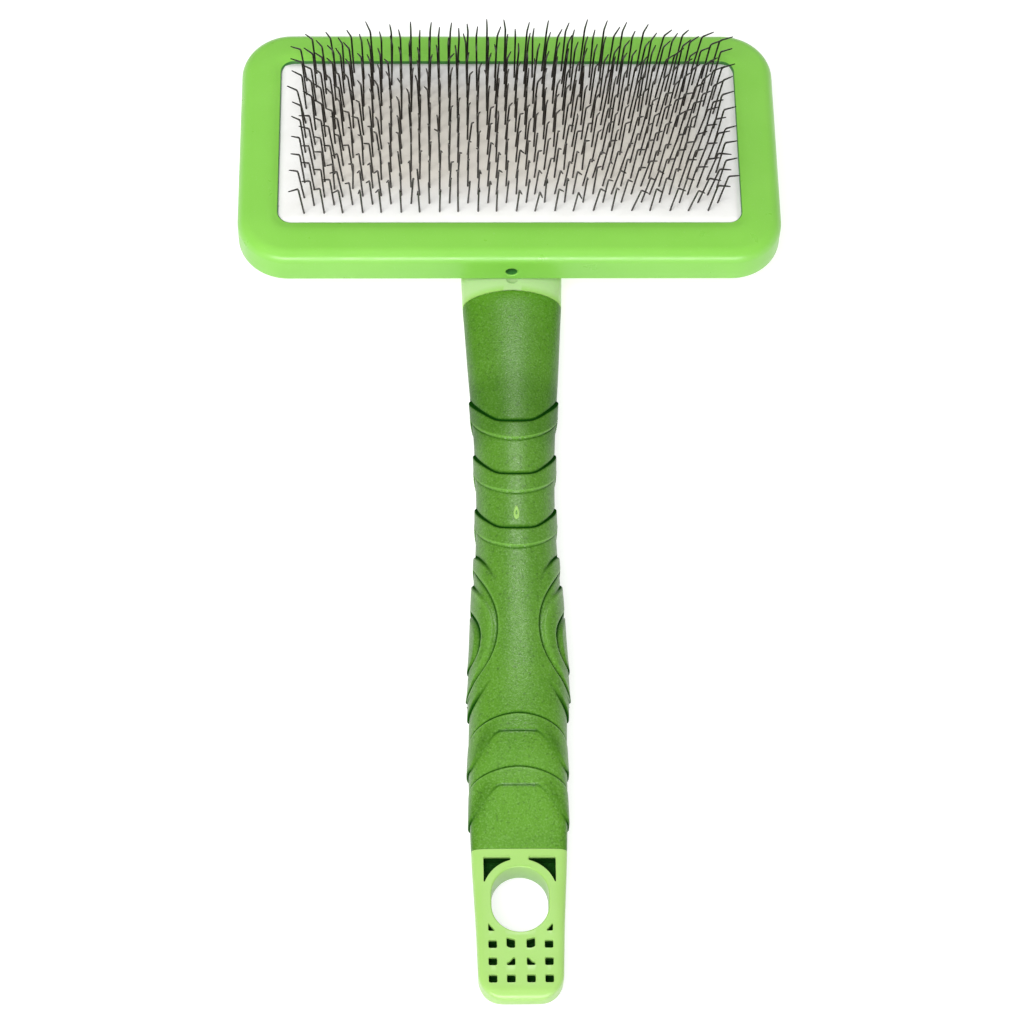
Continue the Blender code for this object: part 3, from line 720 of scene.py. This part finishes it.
def pocket_outlines():
    """Outlines of the pockets in the tail's front, trimmed by the ring and ejector pads."""
    outlines = []
    for column_x in POCKET_COLUMNS:
        inner = abs(column_x) < POCKET_COLUMNS[-1]
        pad_x = copysign(EJECTOR_PAD_X, column_x)
        for row in range(POCKET_ROWS):
            if inner and row == 0:
                continue
            low = POCKET_FIRST_Y - row * POCKET_PITCH_Y - POCKET_SIZE / 2.0
            high = low + POCKET_SIZE
            if inner and row == 1:
                high += POCKET_SIZE

            def low_at(x):
                pad = arch(x, pad_x, EJECTOR_PAD_RADIUS)
                return max(low, EJECTOR_PAD_Y + pad) if row == 1 and pad else low

            def high_at(x):
                pad = arch(x, pad_x, EJECTOR_PAD_RADIUS)
                under_ring = RING_LOW_Y - arch(x, 0.0, HANG_RING_RADIUS)
                under_pad = EJECTOR_PAD_Y - pad if row == 2 and pad else high
                return min(high, under_ring, under_pad)

            half = POCKET_SIZE / 2.0
            outlines.append(clipped_outline(column_x - half, column_x + half, low_at, high_at))
    for side in (1, -1):
        near = side * CORNER_POCKET_NEAR_X
        far = side * CORNER_POCKET_FAR_X
        outline = clipped_outline(
            min(near, far),
            max(near, far),
            lambda x: max(RING_HIGH_Y + arch(x, 0.0, HANG_RING_RADIUS), CORNER_POCKET_Y[0]),
            lambda x: CORNER_POCKET_Y[1],
        )
        outlines.append(outline)
    return [softened(outline) for outline in outlines]


def outline_top(outline):
    """Return the height of the handle's front at an outline's middle."""
    center_x = sum(x for x, _ in outline) / len(outline)
    center_y = sum(y for _, y in outline) / len(outline)
    return front_height(center_x, center_y)


def build_pocket_linings(material):
    """Soft walls of the pockets, behind the light front plate."""
    gap = 0.03 * MM
    low = station_value(HANG_HOLE_Y, TOP) - TAIL_PLATE - 0.4 * MM
    pieces = []
    for outline in pocket_outlines():
        top = outline_top(outline) - POCKET_PLATE - gap
        outer = grown(outline, POCKET_UNDERCUT - gap)
        inner = grown(outline, gap)
        rings = []
        for ring, z in ((outer, low), (outer, top), (inner, top), (inner, low)):
            rings.append([(x, y, z) for x, y in ring])
        pieces.append(mesh_from_rings("lining", rings, wrap=True))
    bm = bmesh.new()
    for piece in pieces:
        bm.from_mesh(piece)
    mesh = new_mesh("linings", bm)
    return add_piece("pocket_linings", mesh, material, ["grip_sleeve"])


def hang_outline(radius, z):
    """Outline of the hanging hole: two half circles with a straight between them."""
    points = []
    for end in (1, -1):
        center_y = HANG_HOLE_Y + end * HANG_HOLE_STRAIGHT / 2.0
        for step in range(HANG_HOLE_STEPS + 1):
            angle = pi * step / HANG_HOLE_STEPS
            x = end * radius * cos(angle)
            points.append((x, center_y + end * radius * sin(angle), z))
    return points


def hang_hole(low, high):
    """Cutter for the hanging hole, flared at both mouths."""
    flare = 0.35 * MM
    beyond = 2.0 * MM
    steps = 5
    mouth = []
    for step in range(steps + 1):
        angle = pi / 2.0 * step / steps
        radius = HANG_HOLE_RADIUS + flare * (1.0 - cos(angle))
        mouth.append((radius, flare * (1.0 - sin(angle))))
    rings = [hang_outline(HANG_HOLE_RADIUS + flare, low - beyond)]
    rings += [hang_outline(radius, low + depth) for radius, depth in reversed(mouth)]
    rings += [hang_outline(radius, high - depth) for radius, depth in mouth]
    rings.append(hang_outline(HANG_HOLE_RADIUS + flare, high + beyond))
    return mesh_from_rings("hang_hole", rings)


def tail_recess_outline(inset, z):
    """Outline of the recess in the tail's back, inside its rim."""
    front_y = TAIL_RECESS_FRONT_Y - inset
    end_y = TAIL_END_Y + TAIL_RIM + inset
    corner = TAIL_END_RADIUS - TAIL_RIM
    points = []
    for y in spaced(front_y, end_y + corner, 2.0 * MM):
        points.append((station_value(y, HALF_WIDTH) - TAIL_RIM - inset, y, z))
    half_x = station_value(end_y, HALF_WIDTH) - TAIL_RIM - inset
    steps = 8
    for step in range(1, steps + 1):
        angle = pi / 2.0 * step / steps
        x = half_x - corner * (1.0 - cos(angle))
        points.append((x, end_y + corner * (1.0 - sin(angle)), z))
    return points + [(-x, y, z) for x, y, z in reversed(points)]


def tail_fill(name, inset, low, high, tube_radius):
    """Solid of the recess in the tail's back, around the hanging hole's tube."""
    block = mesh_from_rings(name, [tail_recess_outline(inset, low), tail_recess_outline(inset, high)])
    tube = [hang_outline(tube_radius, low - 1.0 * MM), hang_outline(tube_radius, high + 1.0 * MM)]
    return combined(block, [mesh_from_rings("tube", tube)])


def build_brush_body(material):
    """Back shell, neck, core and tail in one moulding."""
    count = 96
    pitch = 1.5 * MM
    core_pitch = 5.0 * MM
    end_steps = 17
    core_shrink = SLEEVE_WALL + SEAM
    front = SLEEVE_FRONT_Y + SEAM
    tail = SLEEVE_TAIL_Y - SEAM
    neck_root = HANDLE_STATIONS[0][0]
    rings = [handle_ring(y, count) for y in spaced(neck_root, front, pitch)]
    rings += [handle_ring(y, count, core_shrink) for y in spaced(front, tail, core_pitch)]
    end_start = TAIL_END_Y + TAIL_END_RADIUS
    rings += [handle_ring(y, count) for y in spaced(tail, end_start, pitch)]
    for step in range(1, end_steps):
        angle = pi / 2.0 * step / end_steps
        rings.append(handle_ring(end_start - TAIL_END_RADIUS * sin(angle), count))
    rings.append(handle_ring(TAIL_END_Y + 0.004 * MM, count))
    rim_top = PAD_BACK_Z - SEAM
    tail_top = station_value(HANG_HOLE_Y, TOP)
    plate_low = tail_top - TAIL_PLATE
    form = mesh_from_rings("form", shell_rings(0.0, 0.0, rim_top))
    cutters = [
        mesh_from_rings("cavity", shell_rings(SHELL_WALL, SHELL_WALL, rim_top + MM)),
        tail_fill("recess", 0.0, 1.0 * MM, plate_low, HANG_TUBE_RADIUS),
        hang_hole(station_value(HANG_HOLE_Y, UNDERSIDE), tail_top),
    ]
    for outline in pocket_outlines():
        cutters.append(pocket_prism(outline, plate_low - 0.5 * MM, outline_top(outline)))
    cutters.append(neck_dimple())
    mesh = combined(mesh_from_rings("body", rings), cutters, joined=(form,))
    shade_body(mesh)
    return add_piece("brush_body", mesh, material, ["handle_body"])


def shade_body(mesh):
    """Paint shade into the deep end of the hanging hole, and a pale sheen onto the upper neck."""
    rim = 1.0 * MM
    hole_top = station_value(HANG_HOLE_Y, TOP) - rim
    neck_end = HEAD_LOW.y + 3.0 * MM

    def tone_at(x, y, z):
        past_straight = y - min(max(y, RING_LOW_Y), RING_HIGH_Y)
        in_hole = hypot(x, past_straight) < HANG_HOLE_RADIUS + 0.5 * MM
        if in_hole and z < hole_top:
            return HOLE_TONE
        in_neck = SLEEVE_FRONT_Y < y < neck_end and z > VENT_Z / 4.0
        return NECK_SHEEN_TONE if in_neck else 0.0

    set_tone(mesh, [tone_at(*vert.co) for vert in mesh.vertices])


def neck_dimple():
    """Shallow round dimple in the neck's crown, half hidden by the head's frame."""
    radius = 2.2 * MM
    bm = bmesh.new()
    bmesh.ops.create_uvsphere(bm, u_segments=40, v_segments=24, radius=radius)
    sink = 0.5 * MM
    y = HEAD_LOW.y + 0.5 * MM
    center = Vector((handle_bow(y), y, station_value(y, TOP) + radius - sink))
    bmesh.ops.translate(bm, vec=center, verts=bm.verts)
    return new_mesh("dimple", bm)


def front_height(x, y):
    """Return the height of the handle's front at x, y."""
    around_x, around_z, _ = handle_outline(y, 400)
    front = around_z > (station_value(y, UNDERSIDE) + station_value(y, TOP)) / 2.0
    order = np.argsort(around_x[front])
    return float(np.interp(x, around_x[front][order], around_z[front][order]))


# ------ grip sleeve
# The relief's functions take and return millimetres, except grip_relief.
def upper_band(y, from_crown, crown_y, side):
    """One U-shaped band: straight-sided towards the head, round towards the tail.

    Returns its height, and its tone: below zero for painted shade in the creases, above zero for a
    painted highlight on the lip.
    """
    floor_half = 4.0
    corner = 1.4
    wing_slope = 0.44
    past = from_crown - floor_half
    bowed = 0.012 * from_crown**2
    head_edge = crown_y + wing_slope * (past + np.sqrt(past**2 + corner**2)) + bowed
    tail_edge = crown_y - BAND_LENGTH + 0.061 * from_crown**2
    below_head = (head_edge - y) / 1.3
    above_tail = (y - tail_edge) / 1.2
    to_side = step_up(from_crown / side - 0.8, 0.4)
    inside = step_up(below_head, 0.25) * step_up(above_tail, 0.35)
    ramp = 0.24 * np.exp(np.minimum(above_tail, 0.0) / 1.1) * to_side
    ramp = ramp * (1.0 - step_up(above_tail, 0.35))
    lip = groove(above_tail - 0.2, 0.15) * step_up(below_head, 0.3)
    head_crease = groove(below_head + 0.14, 0.33)
    tail_crease = groove(above_tail + 0.2, 0.16)
    height = 0.4 * inside + ramp + 0.07 * lip - 0.26 * head_crease - 0.12 * tail_crease
    # Painted light: a highlight along the lip, and shade in both creases.
    tone = 0.95 * lip - 1.2 * head_crease - 0.5 * tail_crease
    return height, tone


def lower_band(y, from_crown, crown_y):
    """One arch-shaped band: round towards the head, square-shouldered towards the tail."""
    head_edge = crown_y - 0.048 * from_crown**1.8
    tail_edge = crown_y - 3.6 - 6.9 * step_up(from_crown - 7.1, 7.4)
    below_head = (head_edge - y) / 1.1
    above_tail = (y - tail_edge) / (1.0 + 0.9 * groove(from_crown - 7.6, 2.6))
    share = np.clip(below_head / np.maximum(head_edge - tail_edge, 1.0), 0.0, 1.0)
    blunt = groove(from_crown - 7.2, 2.5)
    inside = step_up(below_head, 0.25) * step_up(above_tail, 0.3 + 1.3 * blunt)
    head_crease = groove(below_head + 0.1, 0.2)
    head_light = groove(below_head - 0.3, 0.2)
    tail_crease = groove(above_tail + 0.15, 0.2) * (1.0 - 0.9 * blunt)
    soft_shade = groove(above_tail - 0.6, 1.4) * blunt
    height = (0.16 + 0.3 * share) * inside - 0.2 * head_crease - 0.1 * tail_crease
    # Painted light: a highlight under the head edge, shade in the creases and soft shade at the blunt
    # shoulders.
    tone = 0.35 * head_light - 1.1 * head_crease - 0.9 * tail_crease - 0.42 * soft_shade
    return height, tone


def leaf(y, from_side, high_y, peak_y, low_y, width, high_powers, low_powers):
    """Return the distance inside a leaf outline that starts and ends on the side line.

    It is widest at peak_y. Each half is a superellipse with its own two powers.
    """
    high = y > peak_y
    half_length = np.where(high, high_y - peak_y, peak_y - low_y)
    across_power = np.where(high, high_powers[0], low_powers[0])
    along_power = np.where(high, high_powers[1], low_powers[1])
    across = from_side / width
    along = np.abs(y - peak_y) / half_length
    inside = 1.0 - across**across_power - along**along_power
    slope_across = across_power * np.maximum(across, 0.05) ** (across_power - 1.0) / width
    slope_along = along_power * np.maximum(along, 0.05) ** (along_power - 1.0) / half_length
    return inside / np.hypot(slope_across, slope_along)


def side_leaves(y, from_side):
    """Nested leaves on each side, stepping up and down towards the middle one."""
    # high end, widest place, low end, width, powers of the high half and of the low half
    shapes = (
        (-15.9, -36.0, -54.2, 11.5, (1.5, 1.85), (1.5, 2.6)),
        (-18.3, -36.5, -50.5, 10.0, (1.0, 2.0), (1.3, 2.2)),
        (-22.5, -36.5, -50.1, 9.0, (1.0, 2.0), (1.3, 2.2)),
        (-28.5, -37.5, -43.9, 6.1, (1.0, 2.0), (2.6, 2.6)),
        (-30.0, -37.0, -43.4, 4.6, (1.0, 2.0), (2.6, 2.6)),
    )
    outer, ring, second, inner, middle = (leaf(y, from_side, *shape) for shape in shapes)
    outer_fade = 1.0 - step_up(from_side - 7.4, 5.0)
    second_fade = 1.0 - step_up(from_side - 5.0, 5.0)
    # rise of the step at each leaf's edge, width of the step, fade
    steps = (
        (outer, 0.42, 0.3, outer_fade),
        (ring, -0.36, 0.3, 1.0),
        (second, 0.46, 0.45, 1.0),
        (inner, -0.46, 0.35, 1.0),
        (middle, 0.46, 0.6, 1.0),
    )
    # creases with painted shade and edges with a painted highlight: distance inside the leaf's edge,
    # width, depth, tone, fade
    lines = (
        (outer, -0.12, 0.3, 0.18, -0.95, outer_fade),
        (ring, 0.2, 0.26, 0.18, -0.95, 1.0),
        (ring, -0.25, 0.2, 0.0, 0.5, 1.0),
        (second, -0.12, 0.32, 0.12, -0.75, second_fade),
        (second, 0.5, 0.4, 0.0, 0.3, 1.0),
        (inner, 0.4, 0.55, 0.2, -1.05, 1.0),
        (inner, -0.3, 0.25, 0.0, 0.3, 1.0),
    )
    height = sum(rise * step_up(inside, width) * fade for inside, rise, width, fade in steps)
    tone = 0.0
    for inside, place, width, depth, shade, fade in lines:
        line = groove(inside - place, width) * fade
        height = height - depth * line
        tone = tone + shade * line
    near_side = groove(from_side, 3.0)
    # Scallops near the side line, with painted shade along each step.
    for notch_y in SCALLOP_PLACES:
        above = y - notch_y
        scallop = step_up(above, 0.7) * np.exp(-np.maximum(above, 0.0) / 2.4)
        height = height + 0.42 * scallop * near_side
        tone = tone - 0.6 * groove(above + 0.2, 0.4) * near_side
    return height, tone


def grip_relief(y, from_side, side):
    """Height and tone of the raised pattern over the smooth grip, at y and distance round."""
    y, from_side, side = y / MM, from_side / MM, side / MM
    from_crown = side - from_side
    layers = [side_leaves(y, from_side)]
    for band in range(BAND_COUNT):
        layers.append(upper_band(y, from_crown, BAND_FIRST_Y - BAND_PITCH * band, side))
    for band in range(ARCH_COUNT):
        layers.append(lower_band(y, from_crown, ARCH_FIRST_Y - ARCH_PITCH * band))
    # Painted shade along the sides and across the upper grip, and a painted sheen on the lower panel.
    side_shade = 0.4 * groove(from_side, 4.0)
    upper_grip_shade = 0.26 * (step_up(y - 11.0, 6.0) - step_up(y - 27.0, 8.0))
    lit_panel = 0.18 * step_up(from_side - 3.5, 3.0) * step_up(-64.0 - y, 5.0)
    tone = sum(tone for _, tone in layers) + lit_panel - side_shade - upper_grip_shade
    return sum(height for height, _ in layers) * MM, tone


def build_grip(material):
    """Sleeve with its moulded relief, tight on the core inside it."""
    count = 216
    pitch = 0.2 * MM
    edge = 0.25 * MM
    rings = []
    tones = []
    for y in spaced(SLEEVE_FRONT_Y, SLEEVE_TAIL_Y, pitch):
        x, z, from_side = handle_outline(y, count)
        height, tone = grip_relief(y, from_side, from_side.max())
        to_end = min(SLEEVE_FRONT_Y - y, y - SLEEVE_TAIL_Y)
        height = height - 0.12 * MM * exp(-((to_end / edge) ** 2))
        along_x = np.roll(x, -1) - np.roll(x, 1)
        along_z = np.roll(z, -1) - np.roll(z, 1)
        length = np.hypot(along_x, along_z)
        x = x + along_z / length * height
        z = z - along_x / length * height
        z = np.maximum(z, 0.0)
        bent_y = y + seam_arch(y, from_side)
        rings.append([(float(a), float(b), float(c)) for a, b, c in zip(x, bent_y, z)])
        tones += [float(value) for value in tone]
    for y in spaced(SLEEVE_TAIL_Y, SLEEVE_FRONT_Y, 5.0 * MM):
        rings.append(handle_ring(y, count, SLEEVE_WALL))
        tones += [0.0] * count
    mesh = mesh_from_rings("grip", rings, wrap=True)
    set_tone(mesh, tones)
    return add_piece("grip", mesh, material, ["grip_sleeve"], degrees=60.0)


def build_grip_tongue(material):
    """Soft filling of the tail's back, which shows at the bottom of the pockets."""
    tail_low = station_value(HANG_HOLE_Y, UNDERSIDE)
    plate_low = station_value(HANG_HOLE_Y, TOP) - TAIL_PLATE
    mesh = tail_fill("tongue", SEAM, tail_low, plate_low - SEAM, HANG_TUBE_RADIUS + SEAM)
    bm = bmesh.new()
    bm.from_mesh(mesh)
    bmesh.ops.bisect_plane(
        bm,
        geom=[*bm.verts, *bm.edges, *bm.faces],
        plane_co=(0.0, SLEEVE_TAIL_Y - SEAM, 0.0),
        plane_no=(0.0, 1.0, 0.0),
        clear_outer=True,
    )
    bmesh.ops.holes_fill(bm, edges=[edge for edge in bm.edges if edge.is_boundary])
    bmesh.ops.recalc_face_normals(bm, faces=bm.faces)
    bm.to_mesh(mesh)
    bm.free()
    return add_piece("grip_tail_fill", mesh, material, ["grip_sleeve"])


def build_gate_mark(material):
    """Small oval of the light core that shows through the grip."""
    rings = []
    top = station_value(GATE_Y, TOP)
    for half_x, half_y, z in (
        (0.62, 1.75, -0.6),
        (0.62, 1.75, 0.02),
        (0.48, 1.55, 0.16),
        (0.2, 0.75, 0.14),
        (0.13, 0.5, -0.1),
    ):
        ring = []
        for angle in turns(ROUND_STEPS):
            pinch = 1.0 - 0.25 * sin(angle)
            x = handle_bow(GATE_Y) + half_x * MM * cos(angle) * pinch
            ring.append((x, GATE_Y + half_y * MM * sin(angle), top + z * MM))
        rings.append(ring)
    mesh = mesh_from_rings("gate", rings)
    return add_piece("gate_mark", mesh, material, [], degrees=50.0)


# ------ pad and pins
def dome_rise(x, y):
    """Rise of the pad over its clamped edge at x, y, counted from the head's middle."""
    across = np.clip(1.0 - np.abs(x / WINDOW_HALF_X) ** 2.2, 0.0, 1.0)
    along = np.clip(1.0 - np.abs(y / WINDOW_HALF_Y) ** 2.0, 0.0, 1.0)
    return PAD_CROWN * across * along


def pad_height(x, y):
    """Height of the pad's face: the dome, and the quick swell just inside the window's lip."""
    swell = 0.7 * MM
    gap = 0.25 * MM
    inside = np.minimum(WINDOW_HALF_X - np.abs(x), WINDOW_HALF_Y - np.abs(y)) - gap
    rise = 1.0 - np.exp(-np.clip(inside, 0.0, None) / (0.5 * MM))
    edge_z = FRAME_FACE_Z - FRAME_FLANGE - SEAM
    crown_share = dome_rise(x, y) / PAD_CROWN
    return edge_z + swell * rise * (1.0 - crown_share) + dome_rise(x, y)


def row_place(row):
    """Return a pin row's y, counted from the head's middle."""
    return (row - (PIN_ROWS - 1) / 2.0) * PIN_ROW_PITCH


def leg_places(row):
    """Return the x of each wire in a row, as pairs for the two legs of each staple."""
    half = ((STAPLES_PER_ROW - 1) * STAPLE_PITCH + STAPLE_WIDTH) / 2.0
    shift = STAGGER if row % 2 else -STAGGER
    pairs = []
    for staple in range(STAPLES_PER_ROW):
        first = -half + shift + staple * STAPLE_PITCH
        pairs.append((first, first + STAPLE_WIDTH))
    return pairs


def build_pad(material):
    """Domed pad, pulled down a little around each wire."""
    inset = 3.0 * MM
    half_x = HEAD_HALF_X - inset
    half_y = HEAD_HALF_Y - inset
    pitch = 0.5 * MM
    columns = round(2.0 * half_x / pitch)
    rows = round(2.0 * half_y / pitch)
    x = np.linspace(-half_x, half_x, columns + 1)[None, :].repeat(rows + 1, axis=0)
    y = np.linspace(-half_y, half_y, rows + 1)[:, None].repeat(columns + 1, axis=1)
    corner = HEAD_CORNER_RADIUS - inset
    over_x = np.clip(np.abs(x) - (half_x - corner), 0.0, None)
    over_y = np.clip(np.abs(y) - (half_y - corner), 0.0, None)
    reach = np.maximum(np.hypot(over_x, over_y), 1e-9)
    square = np.maximum(over_x, over_y)
    scale = np.where((over_x > 0.0) & (over_y > 0.0), square / reach, 1.0)
    x = np.where(over_x > 0.0, np.sign(x) * (half_x - corner + over_x * scale), x)
    y = np.where(over_y > 0.0, np.sign(y) * (half_y - corner + over_y * scale), y)
    z = pad_height(x, y)
    dimple_depth = 0.12 * MM
    dimple_radius = 0.5 * MM
    for row in range(PIN_ROWS):
        pin_y = row_place(row)
        for pair in leg_places(row):
            for pin_x in pair:
                near = (x - pin_x) ** 2 + (y - pin_y) ** 2
                z = z - dimple_depth * np.exp(-near / dimple_radius**2)
    top = np.stack((x, HEAD_Y + y, z), axis=-1).reshape(-1, 3)
    bottom = top.copy()
    under = FRAME_FACE_Z - FRAME_FLANGE - SEAM - PAD_THICKNESS + dome_rise(x, y)
    bottom[:, 2] = under.reshape(-1)
    points = np.concatenate((top, bottom)).tolist()
    wide = columns + 1
    total = wide * (rows + 1)
    faces = []
    for j in range(rows):
        for i in range(columns):
            a = j * wide + i
            faces.append((a, a + 1, a + 1 + wide, a + wide))
            faces.append((total + a, total + a + wide, total + a + 1 + wide, total + a + 1))
    border = list(range(columns))
    border += [j * wide + columns for j in range(rows)]
    border += [rows * wide + i for i in range(columns, 0, -1)]
    border += [j * wide for j in range(rows, 0, -1)]
    for a, b in zip(border, border[1:] + border[:1]):
        faces.append((b, a, total + a, total + b))
    mesh = bpy.data.meshes.new("pad")
    mesh.from_pydata(points, [], faces)
    # Painted shade among the wires: the tone rises away from the window's edge.
    from_edge = np.minimum(WINDOW_HALF_X - np.abs(x), WINDOW_HALF_Y - np.abs(y))
    pin_shade = PIN_SHADE_TONE * step_up(from_edge - 8.0 * MM, 10.0 * MM).reshape(-1)
    set_tone(mesh, np.concatenate((pin_shade, np.zeros(pin_shade.size))).tolist())
    pad = add_piece("pad_face", mesh, material, ["pin_pad"], degrees=50.0)
    return pad


def leg_direction(x, y, side_extra, bend):
    """Return the way a wire points at x, y: fanned out, then turned sideways and bent."""
    side = FAN_X * x + side_extra
    along = FAN_Y * y * (1.0 - FAN_Y_LOSS * abs(x / WINDOW_HALF_X) ** 3.0) - bend
    return Vector((sin(side), sin(along) * cos(side), cos(along) * cos(side)))


def leg_path(x, y, rng):
    """Return the points of one leg from the pad to its tip, with a rounded knee."""
    to_end = min(1.0, abs(x) / PIN_HALF_X)
    side = LEAN_X + rng.gauss(0.0, LEG_SPREAD)
    far = max(y / WINDOW_HALF_Y, 0.0)
    sway = FAR_CORNER_LEAN * to_end**4 * far**2 - LEAN_Y + rng.gauss(0.0, LEG_SPREAD)
    tip_side = copysign(EDGE_TIP_SPLAY * to_end**4, x) + rng.gauss(0.0, TIP_SPREAD)
    bend = KNEE_ANGLE + rng.gauss(0.0, KNEE_SPREAD)
    root_x = x + PIN_SHIFT_X
    root_y = y + x * sin(ROW_TURN)
    base = Vector((root_x, HEAD_Y + root_y, PIN_ROOT_Z + float(dome_rise(root_x, root_y))))
    leg = leg_direction(x, y, side, sway)
    tip = leg_direction(x, y, side + tip_side, bend + sway)
    knee = base + leg * (LEG_LENGTH + rng.gauss(0.0, LENGTH_SPREAD))
    end = knee + tip * (TIP_LENGTH + rng.gauss(0.0, LENGTH_SPREAD))
    too_high = max(end.z + WIRE_RADIUS - PIN_TOP_Z, 0.0)
    knee.z -= too_high
    end.z -= too_high
    points = [base - leg * 1.0 * MM, base, base + leg * 4.0 * MM, base + leg * 8.5 * MM]
    start = knee - leg * KNEE_RADIUS
    stop = knee + tip * KNEE_RADIUS
    for step in range(6):
        t = step / 5.0
        points.append(start * (1 - t) ** 2 + knee * 2 * t * (1 - t) + stop * t**2)
    points.append(knee.lerp(end, 0.6))
    points.append(end)
    return points


def wire_tube(points):
    """Return rings around a path, carried along it without twisting."""
    rings = []
    normal = None
    for i, point in enumerate(points):
        before = points[max(i - 1, 0)]
        after = points[min(i + 1, len(points) - 1)]
        tangent = (after - before).normalized()
        if normal is None:
            normal = tangent.orthogonal()
        normal = (normal - tangent * normal.dot(tangent)).normalized()
        across = tangent.cross(normal)
        to_end = min(i, len(points) - 1 - i)
        size = WIRE_RADIUS * END_TAPER[min(to_end, len(END_TAPER) - 1)]
        ring = []
        for angle in turns(WIRE_SIDES):
            ring.append(point + size * (cos(angle) * normal + sin(angle) * across))
        rings.append(ring)
    return rings


def build_staples(row, material):
    """One row of staples, each one wire: tip, knee, leg, crown, leg, knee, tip."""
    rng = random.Random(STAPLE_SEED + row)
    y = row_place(row)
    nib = 0.06 * MM
    wires = []
    for left, right in leg_places(row):
        first = leg_path(left, y, rng)
        second = leg_path(right, y, rng)
        path = list(reversed(first)) + second
        path.insert(1, path[0].lerp(path[1], nib / (path[0] - path[1]).length))
        path.insert(-1, path[-1].lerp(path[-2], nib / (path[-1] - path[-2]).length))
        wires.append(wire_tube(path))
    name = f"staples_{row + 1:02d}"
    mesh = mesh_from_lofts(name, wires)
    return add_piece(name, mesh, material, [f"pin_row_{row + 1:02d}"], degrees=60.0)


# ------ stage, light and camera
WORLD_STRENGTH = 0.4
FLOOR_HALF_SIZE = 2.5
FLOOR_DROP = 0.03 * MM             # keeps the floor just clear of the brush's flat back
CAMERA_AZIMUTH = radians(-2.74)
CAMERA_ELEVATION = radians(60.11)
CAMERA_ROLL = radians(2.23)
CAMERA_DISTANCE = 682.9 * MM
CAMERA_TARGET = Vector((-0.5 * MM, -8.5 * MM, 15.0 * MM))
CAMERA_LENS = 114.3
SENSOR_WIDTH = 36.0


def build_stage():
    """A pale floor with a faint, even surface."""
    shader = Shader("floor_paper", (0.52, 0.52, 0.52), 0.85)
    clouds = shader.ramp(shader.noise(60.0 * MM, 3.0), 0.0, 1.0)
    shader.feed("Base Color", shader.mix(clouds, (0.53, 0.53, 0.53), (0.51, 0.51, 0.51)))
    shader.set("Emission Color", (1.0, 1.0, 1.0, 1.0))
    shader.set("Emission Strength", 0.68)
    mesh = bpy.data.meshes.new("floor")
    size = FLOOR_HALF_SIZE
    signs = ((-1, -1), (1, -1), (1, 1), (-1, 1))
    mesh.from_pydata([(a * size, b * size, -FLOOR_DROP) for a, b in signs], [], [(0, 1, 2, 3)])
    mesh.materials.append(shader.material)
    link_object("floor", mesh)


def add_area_light(name, place, size, power):
    """Add a rectangular light that faces the origin."""
    light = bpy.data.lights.new(name, "AREA")
    light.shape = "RECTANGLE"
    light.size, light.size_y = size
    light.energy = power
    lamp = link_object(name, light)
    lamp.location = place
    lamp.rotation_euler = (-Vector(place)).to_track_quat("-Z", "Y").to_euler()
    return lamp


def build_light(sheen_pieces):
    """Soft daylight, a diffuse key, a low strip for edges and a high strip for sheen.

    The high strip reaches only the sheen pieces.
    """
    world = bpy.data.worlds.new("studio")
    world.use_nodes = True
    background = world.node_tree.nodes["Background"]
    background.inputs["Color"].default_value = (1.0, 1.0, 1.0, 1.0)
    background.inputs["Strength"].default_value = WORLD_STRENGTH
    bpy.context.scene.world = world
    key = add_area_light("softbox_key", (-0.25, -0.62, 1.08), (0.8, 0.7), 16.5)
    key.visible_glossy = False
    sheen = add_area_light("sheen_strip", (0.03, 0.67, 0.96), (0.2, 0.3), 4.2)
    sheen.visible_diffuse = False
    receivers = bpy.data.collections.new("sheen_receivers")
    for piece in sheen_pieces:
        receivers.objects.link(piece)
    sheen.light_linking.receiver_collection = receivers
    edge = add_area_light("edge_strip", (-0.1, -1.2, 0.14), (1.4, 0.2), 16.0)
    edge.visible_diffuse = False


def build_camera():
    """Look down at the brush from beyond the end of its handle."""
    data = bpy.data.cameras.new("camera")
    data.lens = CAMERA_LENS
    data.sensor_width = SENSOR_WIDTH
    camera = link_object("camera", data)
    look = Euler((pi / 2.0 - CAMERA_ELEVATION, 0.0, CAMERA_AZIMUTH)).to_matrix().to_4x4()
    turn = look @ Matrix.Rotation(CAMERA_ROLL, 4, "Z")
    away = Matrix.Translation((0.0, 0.0, CAMERA_DISTANCE))
    camera.matrix_world = Matrix.Translation(CAMERA_TARGET) @ turn @ away
    bpy.context.scene.camera = camera


def main():
    bpy.context.scene.view_settings.view_transform = "Standard"
    build_stage()
    build_camera()

    frame_green = moulded_plastic("frame_green", (0.25, 0.625, 0.082), (0.228, 0.595, 0.069), 0.32)
    handle_green = moulded_plastic("handle_green", (0.37, 0.64, 0.165), (0.34, 0.6, 0.14), 0.34)
    grip_green = soft_grip("grip_green", (0.091, 0.258, 0.012), (0.07, 0.22, 0.008), 0.42)
    # A far darker copy of the grip's rubber: painted shade on the tongue and in the pocket linings.
    shaded_grip_green = soft_grip("grip_green_shaded", (0.006, 0.05, 0.004), (0.004, 0.035, 0.003), 0.05)
    steel = drawn_wire("pin_steel")

    build_head_bezel(frame_green)
    body = build_brush_body(handle_green)
    grip = build_grip(grip_green)
    build_grip_tongue(shaded_grip_green)
    build_pocket_linings(shaded_grip_green)
    build_gate_mark(handle_green)
    build_pad(pad_laminate("pad_white"))
    for row in range(PIN_ROWS):
        build_staples(row, steel)
    build_light((body, grip))
    hidden = (
        ("pad_backing", fibre("felt_grey", (0.45, 0.45, 0.44), (0.33, 0.33, 0.32), 0.5 * MM, 0.2 * MM)),
        ("foam_cushion", fibre("foam_cream", (0.8, 0.76, 0.62), (0.7, 0.65, 0.5), 1.2 * MM, 0.4 * MM)),
    )
    for node, material in hidden:
        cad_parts[node].material_slots[0].material = material


main()
